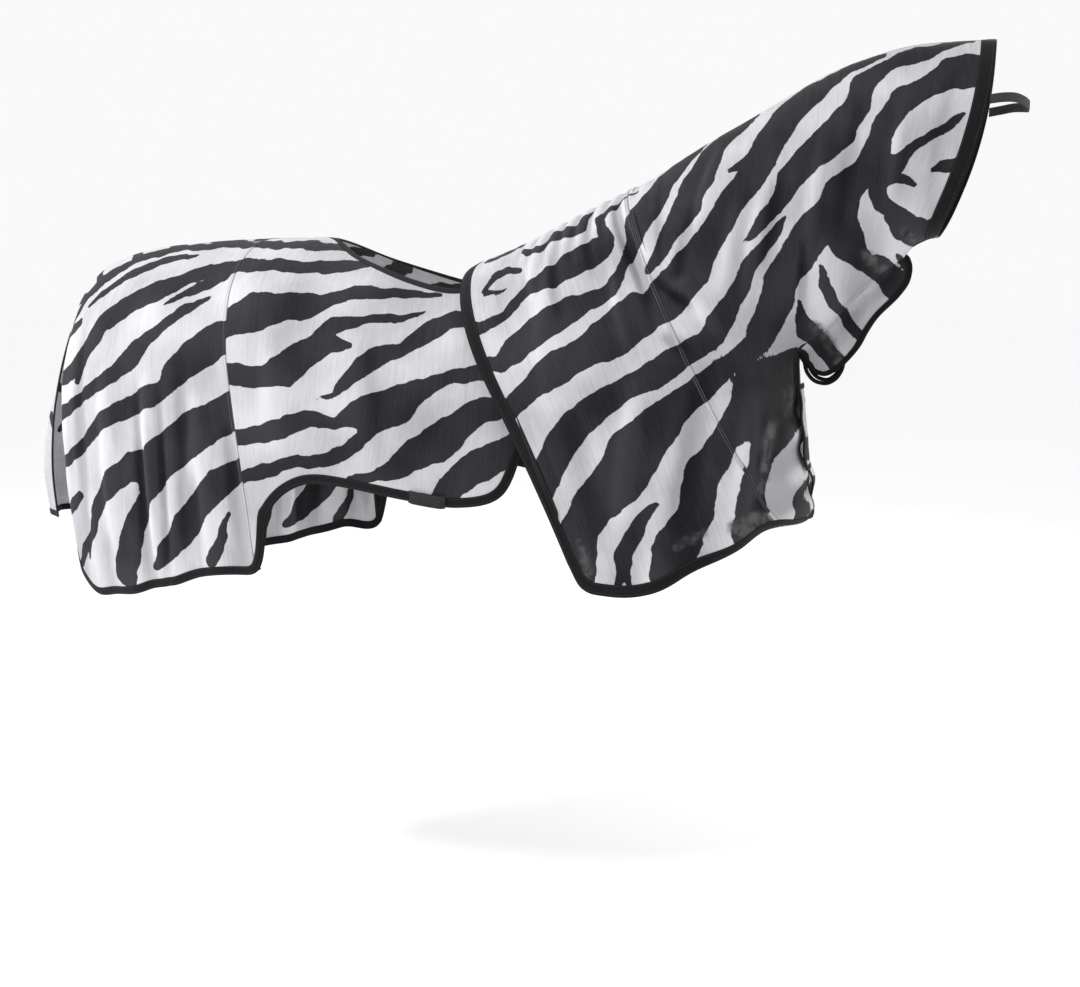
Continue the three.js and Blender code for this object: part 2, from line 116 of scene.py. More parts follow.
# ---------- form of the worn rug ----------
# Columns: top x, top z, hem x, hem z, half width, half width at the hem, round-off share,
# tuck-in share, roundness, bow, half width of the cut-out; millimetres and shares.
COVER = [
    (-143, -42, 168, -642, 343, 343, 0.43, 0.3, 2, 12, 0),
    (-122, -30, 197, -690, 344, 344, 0.43, 0.3, 2, 10, 0),
    (-90, -16, 240, -703, 344, 344, 0.43, 0.3, 2, 8, 0),
    (-30, 6, 320, -699, 342, 338, 0.44, 0.3, 2, 4, 0),
    (80, 58, 425, -650, 328, 305, 0.46, 0.3, 2, 0, 0),
    (170, 101, 535, -585, 302, 205, 0.5, 0.4, 2, 0, 0),
    (255, 140, 609, -571, 280, 12, 0.5, 0.45, 1.9, 0, 0),
    (330, 185, 590, -415, 250, 12, 0.5, 0.45, 1.9, 0, 0),
    (395, 222, 572, -240, 215, 12, 0.5, 0.45, 1.9, 0, 0),
    (445, 249, 612, -192, 190, 12, 0.5, 0.45, 1.8, 0, 0),
    (520, 289, 672, -132, 165, 12, 0.5, 0.42, 1.8, 0, 0),
    (620, 341, 735, -70, 140, 12, 0.5, 0.42, 1.8, 0, 0),
    (710, 372, 775, -30, 125, 12, 0.5, 0.42, 1.8, 4, 0),
    (800, 390, 800, -3, 114, 12, 0.52, 0.4, 1.8, 12, 0),
    (943, 392, 850, 11, 108, 14, 0.52, 0.35, 1.8, 24, 0),
]
SHEET = [
    (-1192, -110, -1114, -665, 178, 180, 0.75, 0.3, 1.6, 0, 0),
    (-1150, -65, -1090, -760, 235, 225, 0.6, 0.3, 1.8, 0, 0),
    (-1075, -19, -1015, -802, 280, 262, 0.5, 0.3, 2, 0, 0),
    (-975, 7, -900, -787, 308, 296, 0.48, 0.3, 2.1, 0, 0),
    (-880, 17, -780, -757, 322, 312, 0.46, 0.3, 2.2, 0, 0),
    (-750, 25, -665, -723, 328, 318, 0.46, 0.3, 2.2, 0, 0),
    (-645, 27, -556, -709, 330, 320, 0.46, 0.3, 2.2, 0, 0),
    (-568, 27, -520, -575, 332, 326, 0.5, 0.3, 2.2, 0, 0),
    (-505, 25, -440, -512, 333, 330, 0.55, 0.3, 2.2, 0, 0),
    (-400, -13, -330, -511, 334, 330, 0.58, 0.3, 2.2, 0, 92),
    (-250, -43, -200, -530, 333, 329, 0.58, 0.3, 2.2, 0, 160),
    (-120, -52, -80, -543, 326, 322, 0.56, 0.3, 2.1, 0, 178),
    (-40, -20, 15, -515, 314, 310, 0.55, 0.3, 2, 0, 130),
    (40, 12, 62, -405, 298, 294, 0.6, 0.3, 2, 0, 0),
]
HIP_SEAM = 6
NECK_SEAM = 5.5
CUTOUT_FROM = 8
HEM_CORNER = 6
JAW_CORNER = 8


def through(values, t):
    """Smooth curve through a list of values or points; t counts the list's places."""
    values = np.asarray(values, float)
    last = len(values) - 1
    t = np.clip(np.asarray(t, float), 0, last - 1e-9)
    i = np.floor(t).astype(int)
    each = (..., *[None] * (values.ndim - 1))
    f = (t - i)[each]
    b = values[i]
    c = values[np.minimum(i + 1, last)]
    a = np.where((i > 0)[each], values[np.maximum(i - 1, 0)], 2 * b - c)
    d = np.where((i + 2 <= last)[each], values[np.minimum(i + 2, last)], 2 * c - b)
    cubic = -a + 3 * b - 3 * c + d
    square = 2 * a - 5 * b + 4 * c - d
    return 0.5 * (2 * b + (c - a) * f + square * f**2 + cubic * f**3)


def quarter_round(v, power):
    return (1 - (1 - np.clip(v, 0, 1)) ** power) ** (1 / power)


def smooth(low, high, v):
    v = np.clip((v - low) / (high - low), 0, 1)
    return v * v * (3 - 2 * v)


def unit(v):
    return v / np.maximum(np.linalg.norm(v, axis=-1, keepdims=True), 1e-12)


class Form:
    """One sheet of the rug as a surface over (station s, row t, side)."""

    turn = 1  # -1 where the normals would point inwards

    def __init__(self, table, folds):
        self.table = table
        self.last = len(table) - 1
        self.folds = folds

    def plain(self, s, t, side):
        read = np.moveaxis(through(self.table, s), -1, 0)
        top_x, top_z, hem_x, hem_z, half, hem_half, round_to, tuck, power, bow, cut = read
        open_share = np.clip(cut, 0, None) / half
        start = round_to * (1 - (1 - open_share**power) ** (1 / power))
        u = start + (1 - start) * 0.5 * (1 - np.cos(math.pi * np.clip(t, 0, 1)))
        share = hem_half / half
        over = quarter_round(u / round_to, power)
        under = share + (1 - share) * quarter_round((1 - u) / tuck, 2)
        x = top_x + (hem_x - top_x) * u + bow * 4 * u * (1 - u)
        z = top_z + (hem_z - top_z) * u
        return np.stack([x, side * half * over * under, z], -1) * MM, u

    def slopes(self, place, s, t, side):
        step = 0.01
        s0 = np.clip(s - step, 0, self.last - 2 * step)
        t0 = np.clip(t - step, 0.002, 0.998 - 2 * step)
        along = (place(s0 + 2 * step, t, side) - place(s0, t, side)) / (2 * step)
        down = (place(s, t0 + 2 * step, side) - place(s, t0, side)) / (2 * step)
        return along, down

    def draped(self, s, t, side):
        """Point of the outer face with its folds."""
        s, t = np.broadcast_arrays(np.asarray(s, float), np.asarray(t, float))
        base, u = self.plain(s, t, side)
        along, down = self.slopes(lambda a, b, c: self.plain(a, b, c)[0], s, t, side)
        normal = unit(np.cross(along, down)) * side
        height = self.folds(base[..., 0], base[..., 2], u, side)
        return base + normal * height[..., None]

    def skin(self, s, t, side, lift=0.0):
        """Draped point lifted off the cloth, with its normal."""
        s, t = np.broadcast_arrays(np.asarray(s, float), np.asarray(t, float))
        along, down = self.slopes(self.draped, s, t, side)
        normal = unit(np.cross(along, down)) * side * self.turn
        return self.draped(s, t, side) + normal * np.asarray(lift)[..., None], normal


# ---------- folds ----------
def ripple(x, z, side, seed):
    """Slow unevenness of hanging cloth, between -1 and 1."""
    turn = seed + 1.7 * (side > 0)
    first = np.sin(9 * x + 14 * z + turn) * np.sin(17 * x - 8 * z + 2.1 * turn)
    second = np.sin(31 * x + 12 * z + 3.3 * turn) * np.sin(11 * x - 37 * z + turn)
    return 0.65 * first + 0.35 * second


def crease(x, z, start, end, wide):
    """1 on the line from start to end (cm), fading sideways and to its two ends."""
    a = np.array(start, float) * CM
    b = np.array(end, float) * CM
    along = b - a
    share = ((x - a[0]) * along[0] + (z - a[1]) * along[1]) / along.dot(along)
    inside = np.clip(share, 0, 1)
    gap = np.hypot(x - a[0] - inside * along[0], z - a[1] - inside * along[1])
    return np.exp(-((gap / (wide * CM)) ** 2)) * np.sin(math.pi * np.clip(share, 0.02, 0.98))


# start, end and width in cm, height in mm; side view
COVER_CREASES = [
    ((17, 13), (33, -13), 1.0, -8), ((31, -7), (42, -14), 0.9, -7), ((21, 11), (32, -5), 1.5, 6),
    ((33, -10), (40, -8), 1.3, 5), ((34, -18), (41, -22), 1.1, -5), ((8, 1), (14, -16), 1.0, -4),
    ((-3, -4), (3, -20), 1.2, -4), ((3, -1), (8, -14), 0.9, 3.5), ((22, -2), (29, -24), 1.1, 4),
    ((38, 8), (36, -10), 1.1, -4), ((42, 20), (39, 2), 1.2, 4), ((52, 12), (49, -14), 1.2, 4),
    ((24, 6), (34, -20), 1.0, -3), ((36, -8), (47, -19), 1.2, 4), ((14, 7), (20, -8), 0.8, -3),
    ((29, 14), (33, -6), 0.8, -2.5), ((47, 10), (45, -12), 1.4, 3), ((56, 20), (52, -10), 1.5, -3),
    ((63, 25), (60, -8), 1.3, 3), ((70, 30), (66, 0), 1.4, -3), ((78, 30), (75, 4), 1.2, 3),
    ((87, 34), (83, 5), 1.2, -2.5), ((8, -2), (12, -34), 1.8, 3), ((30, -24), (27, -62), 2.2, 5),
    ((44, -22), (38, -60), 2.2, -6), ((52, -26), (50, -60), 1.6, 6), ((56, -30), (57, -55), 1.2, -5),
    ((16, -30), (24, -66), 2.5, -4), ((60, 2), (59.5, -16), 0.9, -5), ((64, 2), (61, -14), 1.0, 4),
]
SHEET_CREASES = [
    ((-82.5, -26), (-81, -77), 1.3, 9), ((-79, -28), (-78.5, -76), 0.9, -6),
    ((-85, -30), (-84.5, -77), 0.9, -5), ((-95, -24), (-93, -80), 1.9, 6),
    ((-103, -12), (-103, -74), 1.7, -5), ((-70, -30), (-66, -73), 1.8, 5),
    ((-62, -36), (-58, -71), 1.2, -5), ((-109, -12), (-110, -60), 1.2, 4),
    ((-73, -20), (-74, -74), 1.5, -4), ((-52, -12), (-49, -48), 2.2, 2.5),
    ((-28, -14), (-24, -50), 2.5, -2.5), ((-8, -14), (-4, -50), 2.2, 2),
]


def creases(x, z, rows):
    return sum(1.6 * tall * MM * crease(x, z, start, end, wide) for start, end, wide, tall in rows)


def cover_folds(x, z, u, side):
    lap = smooth(-0.10, 0.08, x + 0.45 * (z + 0.05))  # flat where it lies on the sheet
    height = 0.0026 * ripple(x, z, side, 0.4) * smooth(0, 0.15, u)
    height += creases(x + 0.012 * (side > 0), z, COVER_CREASES) * smooth(0, 0.05, u)
    gathered = np.exp(-(((x - 0.10) / 0.13) ** 2) - (u / 0.11) ** 2)
    height += 0.0042 * gathered * np.sin(2 * math.pi * (x + 0.25 * z) / 0.034)
    low = smooth(0.7, 1, u) * smooth(0.15, 0.3, x)
    height += 0.0042 * low * np.sin(2 * math.pi * x / 0.145 + 0.9 * side)
    chest = smooth(0.50, 0.585, x) * smooth(-0.26, -0.34, z)
    height += 0.0045 * chest * np.sin(2 * math.pi * z / 0.085 + side)
    return height * lap


def sheet_folds(x, z, u, side):
    lap = 1 - smooth(-0.14, -0.05, x)  # flat under the cover
    height = 0.0024 * ripple(x, z, side, 2.2) * smooth(0, 0.15, u)
    height += creases(x + 0.010 * (side > 0), z, SHEET_CREASES) * smooth(0, 0.06, u)
    low = smooth(0.5, 1, u) * smooth(-0.5, -0.62, x)
    height += 0.0026 * low * np.sin(2 * math.pi * x / 0.118 + 1.4 * side)
    return height * lap


cover = Form(COVER, cover_folds)
sheet = Form(SHEET, sheet_folds)

# ---------- print: stripes as (x, z, half width) in cm, in the side view ----------
HIND_PRINT = [
    [(-50, 1, 1), (-70, 1, 0.8), (-85, 0.2, 0.9), (-95, -2, 1.3), (-102, -6, 1.5), (-107, -11, 1.4),
     (-110, -17, 0.8)],
    [(-77, -1.4, 0.4), (-87, -3, 1.1), (-95, -6.7, 1.2), (-101, -10, 0.9), (-104.5, -13.5, 0.3)],
    [(-50, -4.7, 1.7), (-60, -4.2, 1.5), (-68, -4.5, 1.6), (-75, -6.5, 1.7), (-82, -9.5, 2.4),
     (-90, -12.7, 2.6), (-97, -17, 2.4), (-101, -23, 2.2), (-104, -30, 0.8)],
    [(-66, -6.5, 1.4), (-72, -9, 1.2), (-77, -11.5, 0.8), (-79.5, -12.8, 0.2)],
    [(-68, -11, 0.4), (-73, -13.5, 1.2), (-78, -17, 1.3), (-82, -20, 1.6), (-86, -24, 2.4), (-91, -28, 2),
     (-96, -30.5, 1.6), (-101, -33, 1.3), (-104, -36, 0.5)],
    [(-59, -18, 3.4), (-64.5, -20.5, 3.8), (-70, -24, 4), (-75, -28, 3), (-79, -33.5, 0.9)],
    [(-78, -31.5, 1.6), (-81, -32.8, 2.6), (-85, -34.5, 2.3), (-90, -36.5, 2.2), (-95, -39, 2),
     (-100, -42.5, 1.4), (-102, -46, 0.6)],
    [(-58.5, -35, 4), (-64, -37.5, 4.4), (-70, -40.5, 4.6), (-76, -44.5, 4.8), (-81, -49, 4.2),
     (-87, -49, 3.6), (-92, -52, 2.6), (-96, -56, 2), (-99, -61, 1.6), (-101.5, -67, 1), (-103, -72, 0.4)],
    [(-81, -50, 4), (-83.5, -56, 2.2), (-86.5, -61, 2.6), (-89, -67, 3.2), (-90.5, -74, 3.4)],
    [(-58, -48, 2.6), (-64, -51.5, 3), (-68.5, -56, 3.2), (-72.5, -61, 3.6), (-77, -66.5, 2.6),
     (-82, -72, 1)],
    [(-62, -58, 0.4), (-63.5, -63, 1.2), (-66.5, -69, 1.6)],
    # over the croup and round the rump
    [(-56, 1.4, 0.8), (-64, 2.3, 0.6), (-70, 2.9, 0.5)],
    [(-70, 1.2, 0.8), (-78, 2.1, 0.6), (-84, 2.8, 0.5)], [(-84, 0.4, 0.8), (-91, 1.3, 0.6), (-97, 2, 0.5)],
    [(-95, -2, 1), (-100, -0.6, 0.8), (-105, 0.4, 0.5)],
    [(-104, -7.5, 1), (-109, -5, 0.9), (-113, -3.5, 0.5)],
    [(-107, -11, 1.4), (-112, -11.5, 1.3), (-119, -13, 1)],
    [(-100.5, -22, 2.2), (-104.5, -27, 1.9), (-108, -29.5, 1.7), (-112, -31, 1.5), (-119, -33, 1.2)],
    [(-100, -32.8, 1.5), (-105, -35.5, 1.5), (-109, -37.5, 1.4), (-113.5, -41, 1)],
    [(-99, -42, 1.6), (-103.5, -46, 1.4), (-108, -48.5, 1.5), (-112, -50, 1.4), (-118, -51.5, 1)],
    [(-106, -17, 1), (-110.5, -20, 1.4), (-115, -22, 1.2)],
    [(-104.5, -57, 1), (-108.5, -60, 1.5), (-113, -63, 1)],
    [(-101, -66, 1.2), (-105, -70, 1.4), (-108, -74, 1)],
]
SIDE_PRINT = [
    [(-66, 0.8, 0.9), (-55, 0.7, 1), (-45, 0.3, 1), (-37, -0.5, 0.8)],
    [(-66, -4.3, 1.7), (-58, -3.9, 1.4), (-50, -4.3, 1.3), (-43, -4.8, 1.5), (-36, -3.6, 1.3)],
    [(-63, -16.8, 3), (-56, -14.5, 4.4), (-50, -13.2, 3.3), (-43, -13, 2.7), (-38, -11.2, 1.5),
     (-32, -9.8, 1.4), (-26, -10.3, 1.1), (-20, -10.2, 0.7), (-16, -10.8, 0.4)],
    [(-62, -27.5, 2.4), (-52, -28, 2.4), (-47, -26.5, 3.3), (-42, -23, 3.6), (-37.5, -20.5, 2.6),
     (-32, -21, 0.6)],
    [(-39, -19.5, 2.2), (-36, -17, 1.8), (-30, -15.6, 1), (-24, -15.5, 0.9), (-17, -14.2, 0.3)],
    [(-39.5, -32.5, 0.2), (-35, -31, 0.8), (-32, -28.5, 1.6), (-29, -25.5, 2.2), (-25, -22.8, 2),
     (-20, -21.8, 1.6), (-16, -18.5, 2.2), (-11, -15.5, 1.8), (-6, -15.5, 2), (1, -17, 1.8)],
    [(-62, -41.5, 1.8), (-53, -40.5, 2), (-46, -38, 2.3), (-40, -36.5, 1.7), (-35, -37.5, 1.3),
     (-30, -35.5, 2.8), (-26, -35, 4.3), (-21, -33.5, 4), (-16, -30, 2.4), (-10, -27.6, 1.3),
     (-4, -26.3, 1.7), (3, -26, 1.7)],
    [(-62, -51.5, 1.4), (-53, -48.5, 1.6), (-47, -46.5, 1.4), (-41, -45.8, 1.3), (-36, -45, 1.8),
     (-32, -43, 1.3), (-28, -39.5, 1.8), (-25, -36, 2)],
    [(-32, -49, 0.8), (-26, -48.5, 1.3), (-21, -46.5, 2.2), (-17, -43.5, 3.6), (-12, -41, 3.8),
     (-8, -38, 3.2), (-4, -34.5, 3), (3, -33, 1.8)],
    [(-19, -53, 0.8), (-13, -52.8, 1.3), (-9, -50, 3), (-5, -46.5, 3.4), (0, -43.8, 3.2), (6, -40, 2.6)],
]
COVER_PRINT = [
    [(-9, -3.2, 0.5), (-6, -2.2, 0.7), (-3, -0.8, 0.6), (-1, 0, 0.3)],
    [(-4.8, -10, 0.7), (-3.3, -6.8, 0.9), (-1.5, -5.4, 0.8), (2.2, -5.4, 0.6)],
    [(-4.4, -10.6, 0.5), (-1, -9.6, 0.4), (0.6, -9, 0.2)],
    [(0.3, -1.2, 0.5), (3, -1.5, 0.9), (5.5, -1.2, 0.9), (7, 0.4, 1), (8.5, 1.9, 1.1), (11.5, 2.6, 1.3),
     (13.4, 3.2, 1.3), (13.6, 5, 0.9), (14.5, 7, 0.5)],
    [(-6, -17.5, 1.4), (-2.3, -16.8, 1.3), (1.5, -14.5, 1.2), (4.2, -11.2, 1.2), (7, -8.8, 1.5),
     (9.8, -6.9, 2.3), (13.5, -4.8, 3), (17.3, -2.6, 3), (19.9, -1.1, 2.6), (20.6, 0.8, 1.5),
     (19, 2.6, 1.1), (17.6, 4.6, 1), (18.9, 6.3, 0.8), (20.2, 7.8, 0.5), (21.8, 9.6, 0.3), (24, 11, 0.2)],
    [(-6, -25, 1.4), (2, -24.5, 1.6), (5, -21.5, 2.6), (9, -18, 3.2), (14, -14.5, 3), (19, -11.8, 2),
     (23.4, -9.8, 1.8), (25.2, -6.4, 1), (25.6, -2.8, 1.2), (26.6, 0.4, 2.2), (26.9, 4, 2.9),
     (28.6, 8.5, 3.1), (31, 13, 2.6), (34, 17.5, 1.8), (37.5, 21.5, 1)],
    [(-1, -37.5, 2), (5, -33, 2.3), (10, -28, 2.6), (15, -24.5, 3.4), (20, -21.5, 3.4), (25, -18.5, 4.2),
     (29.6, -14.6, 4.8), (32.3, -13.4, 3.9), (35, -10.8, 4.3), (38.5, -6, 4.3), (41.5, -1, 3.2),
     (44.5, 5, 2.8), (48, 11, 3), (51, 16, 3.2), (52.5, 21, 3.2), (55.5, 25.5, 3), (59, 29.5, 2.8),
     (63, 32, 1.8), (67, 34.5, 1.2), (73, 37.3, 0.6)],
    [(44.6, 14, 0.4), (48, 16, 1.2), (51, 17, 2)],
    [(30.5, -5.5, 0.8), (32.5, -2, 1.6), (34, 2, 2.2), (36.5, 6.5, 3.2), (38.5, 12, 3.4), (40, 17.5, 2.8),
     (43, 22, 2), (48, 26.5, 0.8)],
    [(11.5, -53, 0.6), (12.5, -47, 3), (14.5, -41, 3.4), (18, -36.4, 3.2), (23, -32, 2.8),
     (28, -28.8, 2.4), (33, -26.3, 2.6), (38, -22.8, 2.7), (43, -19.6, 2.3), (46, -15, 2.3), (48, -10, 1.6),
     (50, -5, 1.5), (52.5, -1, 1.4), (55.5, 3, 0.9), (56.8, 5, 0.2)],
    [(48.7, -0.5, 0.2), (51.5, 3, 1.2), (54.5, 7, 1.6), (57, 12.3, 2.7), (61, 17, 3.2), (66, 21.5, 3.2),
     (68.5, 26, 2.6), (70, 31, 2.4), (74, 34.5, 1.6), (80, 36.5, 1.8), (86, 38.2, 1), (90, 39, 0.4)],
    [(21, -68, 1.4), (20, -62, 3), (19.5, -57, 4), (21.5, -52.5, 4.2), (27, -47, 5.2), (30.5, -41, 5.4),
     (34.5, -36, 4.2), (39, -31.5, 3), (43, -28, 2.4), (47, -24.5, 2.2), (52, -20, 2.4), (54, -15, 2.8),
     (55.5, -9, 3.2), (58, -4, 3.3), (61, 1, 3.3), (65.5, 5.5, 4.2), (67.5, 10, 3.6), (71, 13.5, 2.8),
     (73.5, 18, 2.4), (74.5, 23, 2.2), (77.5, 27, 2.4), (82, 29.5, 2.4), (86, 32, 3.2), (90, 32.5, 3.4),
     (95, 32.5, 3)],
    [(66, 4, 3.6), (68.5, -1, 3.4), (71.5, -4, 2), (73.5, -6.5, 1)],
    [(35, -51.5, 0.4), (32, -54.5, 1.4), (30, -58, 1.8), (28.5, -62, 2), (28, -66, 1.4),
     (26.5, -69.5, 0.3)],
    [(28.5, -64, 1.2), (29.5, -69, 0.4)],
    [(36, -66, 2.4), (38.5, -60, 4.6), (42, -54, 3.4), (42.5, -48, 3.4), (44, -44, 3.6), (47, -39, 2.6),
     (50.5, -34, 3.4), (53, -28, 4.6), (57, -24.5, 3)],
    [(57.5, -27, 3.6), (56.5, -33, 3.4), (54.8, -40, 3.4), (52.4, -47, 2.3), (52, -53, 3.2),
     (51, -58, 2.4)],
    [(60.6, -47.5, 0.15), (60.4, -51, 0.5), (59.7, -56, 1.1)],
    [(74.5, 13.5, 2.8), (77.5, 15.5, 1.6), (80.5, 18.3, 1), (84.5, 20.8, 0.8), (88, 23.3, 0.8),
     (89.3, 24.3, 0.4)],
    [(74, 13, 2), (73.5, 10.5, 1.8), (74.3, 7.5, 1.7), (77, 5.5, 1.4), (80, 4, 1.5), (83, 3, 1.2),
     (86, 4.5, 0.8)],
    [(75, 12.4, 1.2), (78.5, 11.8, 0.9), (80.3, 10.6, 0.5)],
    [(83.5, 13.6, 0.3), (86, 14.3, 1.3), (89, 14.8, 1.3), (93, 15, 1)],
    [(62.8, -4.5, 0.4), (63.8, -8, 1.1), (65.3, -12, 1.3), (67.5, -16, 1.2), (70.5, -19.5, 0.8)],
    [(59, -11.5, 0.3), (59.3, -15, 1.1), (60.4, -18.5, 1.9), (62.8, -21.3, 2.2), (65.5, -24.3, 2.1),
     (67.5, -27.5, 1.4)],
    [(73.5, -5, 2.6), (76.5, -8, 3), (79.5, -11, 3), (81.5, -14, 1.8)],
    [(77.2, -2.5, 0.5), (80, -5.5, 1.2), (82, -8.5, 1.2)],
    [(76, 4.4, 1.2), (77.5, 2, 1.6), (80.5, 0.6, 1.7), (84, 1.2, 1.3), (87, 3, 0.8)],
]
# places where grey is painted into the black print, standing for light from the layer behind showing through
COVER_VEIL = [
    [(55.4, -36.5, 1.1), (54.8, -41, 1.2), (54.2, -46, 1), (53.9, -50, 0.8)],
    [(50.5, -56, 2.4), (53.6, -55.8, 2.2)], [(57.6, -30, 0.8), (58.2, -35, 1)],
    [(38.5, -60, 0.8), (44, -57.5, 0.8)], [(19.6, -60, 0.8), (20.8, -66, 1.2)],
    [(61.5, -16.8, 0.8), (64, -20.6, 1.3), (66.3, -24.2, 1.2)], [(71.8, -2.8, 1.2), (74.5, -5.5, 1.3)],
    [(78.2, 1.8, 0.9), (81, 0.6, 0.9)],
]
TAIL_PRINT = [
    [(-6, -19, 0.7), (-2, -21, 1.3), (3, -20, 1)],
    [(-9, -29.5, 0.6), (-5.5, -32.5, 1.2), (-1, -34.5, 1), (4, -33, 1.3), (8.5, -34.5, 1)],
    [(8.5, -40, 1.2), (5, -42, 1.4), (2, -45, 0.8)], [(-8.5, -43.5, 0.9), (-6, -41, 1.2), (-3, -40.5, 0.5)],
]


def ink_depth(x, z, stripes):
    """How far inside the nearest stripe each point lies; negative outside. Metres."""
    depth = np.full(np.shape(x), -1.0)
    for stripe in stripes:
        points = np.array(stripe, float) * CM
        for a, b in zip(points[:-1], points[1:]):
            along = b[:2] - a[:2]
            share = ((x - a[0]) * along[0] + (z - a[1]) * along[1]) / along.dot(along)
            share = np.clip(share, 0, 1)
            gap = np.hypot(x - a[0] - share * along[0], z - a[1] - share * along[1])
            depth = np.maximum(depth, a[2] + (b[2] - a[2]) * share - gap)
    return depth


def stripes_on(points, stripes, side):
    """Print of the right side; the left side has the same print, cut a little further on."""
    x = points[..., 0]
    z = points[..., 2]
    drift = 0.014 * (side > 0)
    x = x + drift * np.sin(8 * z + 1) + 0.0022 * np.sin(58 * z + 21 * x) + 0.0012 * np.sin(131 * z - 40 * x)
    z = z + drift * np.sin(7 * x) + 0.0022 * np.sin(63 * x - 17 * z) + 0.0012 * np.sin(140 * x + 33 * z)
    return ink_depth(x, z, stripes)


# ---------- meshes ----------
def new_piece(name, shape, finish, body, replaced, weave, ink=None, veil=None, fold=None):
    vertices, faces = shape
    material, slot = finish
    mesh = bpy.data.meshes.new(name)
    mesh.from_pydata([tuple(v) for v in vertices], [], faces)
    if ink is not None:
        veil = np.full(len(ink), -1.0) if veil is None else veil
        fold = np.zeros(len(ink)) if fold is None else fold
        for key, values in (("ink", ink), ("veil", veil), ("fold", fold)):
            layer = mesh.attributes.new(key, "FLOAT", "POINT")
            layer.data.foreach_set("value", np.asarray(values, np.float32))
    corners = np.zeros(len(mesh.loops), np.int32)
    mesh.loops.foreach_get("vertex_index", corners)
    uv = mesh.uv_layers.new(name="weave")
    uv.data.foreach_set("uv", np.asarray(weave, np.float32)[corners].ravel())
    mesh.polygons.foreach_set("use_smooth", [True] * len(mesh.polygons))
    mesh.materials.append(material)
    mesh.validate()
    mesh.update()
    piece = bpy.data.objects.new(name, mesh)
    bpy.context.scene.collection.objects.link(piece)
    if isinstance(body, tuple):
        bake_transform(piece)
    else:
        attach(piece, body)
    if replaced:
        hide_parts(*replaced)
    return piece


def outward(vertices, faces):
    """Turns the faces of a closed mesh round if its volume comes out negative."""
    volume = 0.0
    for face in faces:
        a = vertices[face[0]]
        for b, c in zip(face[1:-1], face[2:]):
            volume += np.dot(a, np.cross(vertices[b], vertices[c]))
    return faces if volume > 0 else [tuple(reversed(face)) for face in faces]


def plate(outer, inner):
    """Closed plate between two grids of points: vertices and faces."""
    columns, rows = outer.shape[:2]
    vertices = np.concatenate([outer.reshape(-1, 3), inner.reshape(-1, 3)])
    half = columns * rows
    faces = []
    for i in range(columns - 1):
        for j in range(rows - 1):
            a = i * rows + j
            b = a + rows
            faces.append((a, b, b + 1, a + 1))
            faces.append((half + a, half + a + 1, half + b + 1, half + b))
    rim = [i * rows for i in range(columns)]
    rim += [(columns - 1) * rows + j for j in range(1, rows)]
    rim += [i * rows + rows - 1 for i in range(columns - 2, -1, -1)]
    rim += list(range(rows - 2, 0, -1))
    for a, b in zip(rim, rim[1:] + rim[:1]):
        faces.append((b, a, half + a, half + b))
    return vertices, outward(vertices, faces)


def sweep(rings):
    """Closed solid through rings of points: vertices and faces."""
    count, size = rings.shape[:2]
    vertices = rings.reshape(-1, 3)
    faces = []
    for i in range(count - 1):
        for j in range(size):
            k = (j + 1) % size
            faces.append((i * size + j, i * size + k, (i + 1) * size + k, (i + 1) * size + j))
    faces.append(tuple(range(size)))
    faces.append(tuple((count - 1) * size + j for j in reversed(range(size))))
    return vertices, outward(vertices, faces)


def run_lengths(points):
    """How far along its line each point lies; a grid of points counts as many lines."""
    steps = np.linalg.norm(np.diff(points, axis=0), axis=-1)
    return np.concatenate([np.zeros_like(steps[:1]), np.cumsum(steps, axis=0)])


def pairs(first, second):
    return np.stack(np.meshgrid(first, second, indexing="ij"), -1).reshape(-1, 2)


def weave_round(along, outline):
    """Weave place of each point of a swept solid: along it, and round its outline."""
    return pairs(along, run_lengths(np.array(outline + outline[:1]))[:-1])


def panel(name, form, side, stations, stripes, body, replaced, veils=()):
    """Cloth panel of the form between two stations."""
    fine = np.linspace(*stations, 400)
    tracks = form.draped(fine[:, None], np.array([[0.02, 0.4, 0.75, 1.0]]), side)
    longest = np.linalg.norm(np.diff(tracks, axis=0), axis=-1).max(axis=1)
    gone = np.concatenate([[0], np.cumsum(longest)])
    middle = form.draped(np.mean(stations), np.linspace(0, 1, 60), side)
    columns = int(gone[-1] / GRID) + 2
    lines = int(1.25 * run_lengths(middle)[-1] / GRID) + 2
    places = np.interp(np.linspace(0, gone[-1], columns), gone, fine)
    s, t = np.meshgrid(places, np.linspace(0, 1, lines), indexing="ij")
    outer = form.skin(s, t, side)[0]
    inner = form.skin(s, t, side, -CLOTH)[0]
    flat, u = form.plain(s, t, side)
    fold = np.zeros(s.shape)
    if form.folds:
        # fold height at each point, which the cloth's colour uses for painted shade in valleys and a painted
        # highlight on crests
        fold = np.clip(form.folds(flat[..., 0], flat[..., 2], u, side) / FOLD_DEPTH, -1, 1)
        for grid in (outer, inner):  # the two halves meet on the midplane
            grid[..., 1] = side * np.maximum(side * grid[..., 1], 0)
    weave = np.stack([run_lengths(outer), run_lengths(outer.swapaxes(0, 1)).T], -1).reshape(-1, 2)
    looks = [np.tile(values.ravel(), 2) for values in
             (stripes_on(flat, stripes, side), stripes_on(flat, veils, side), fold)]
    piece = new_piece(name, plate(outer, inner), MESH_CLOTH, body, replaced, np.tile(weave, (2, 1)), *looks)
    return piece


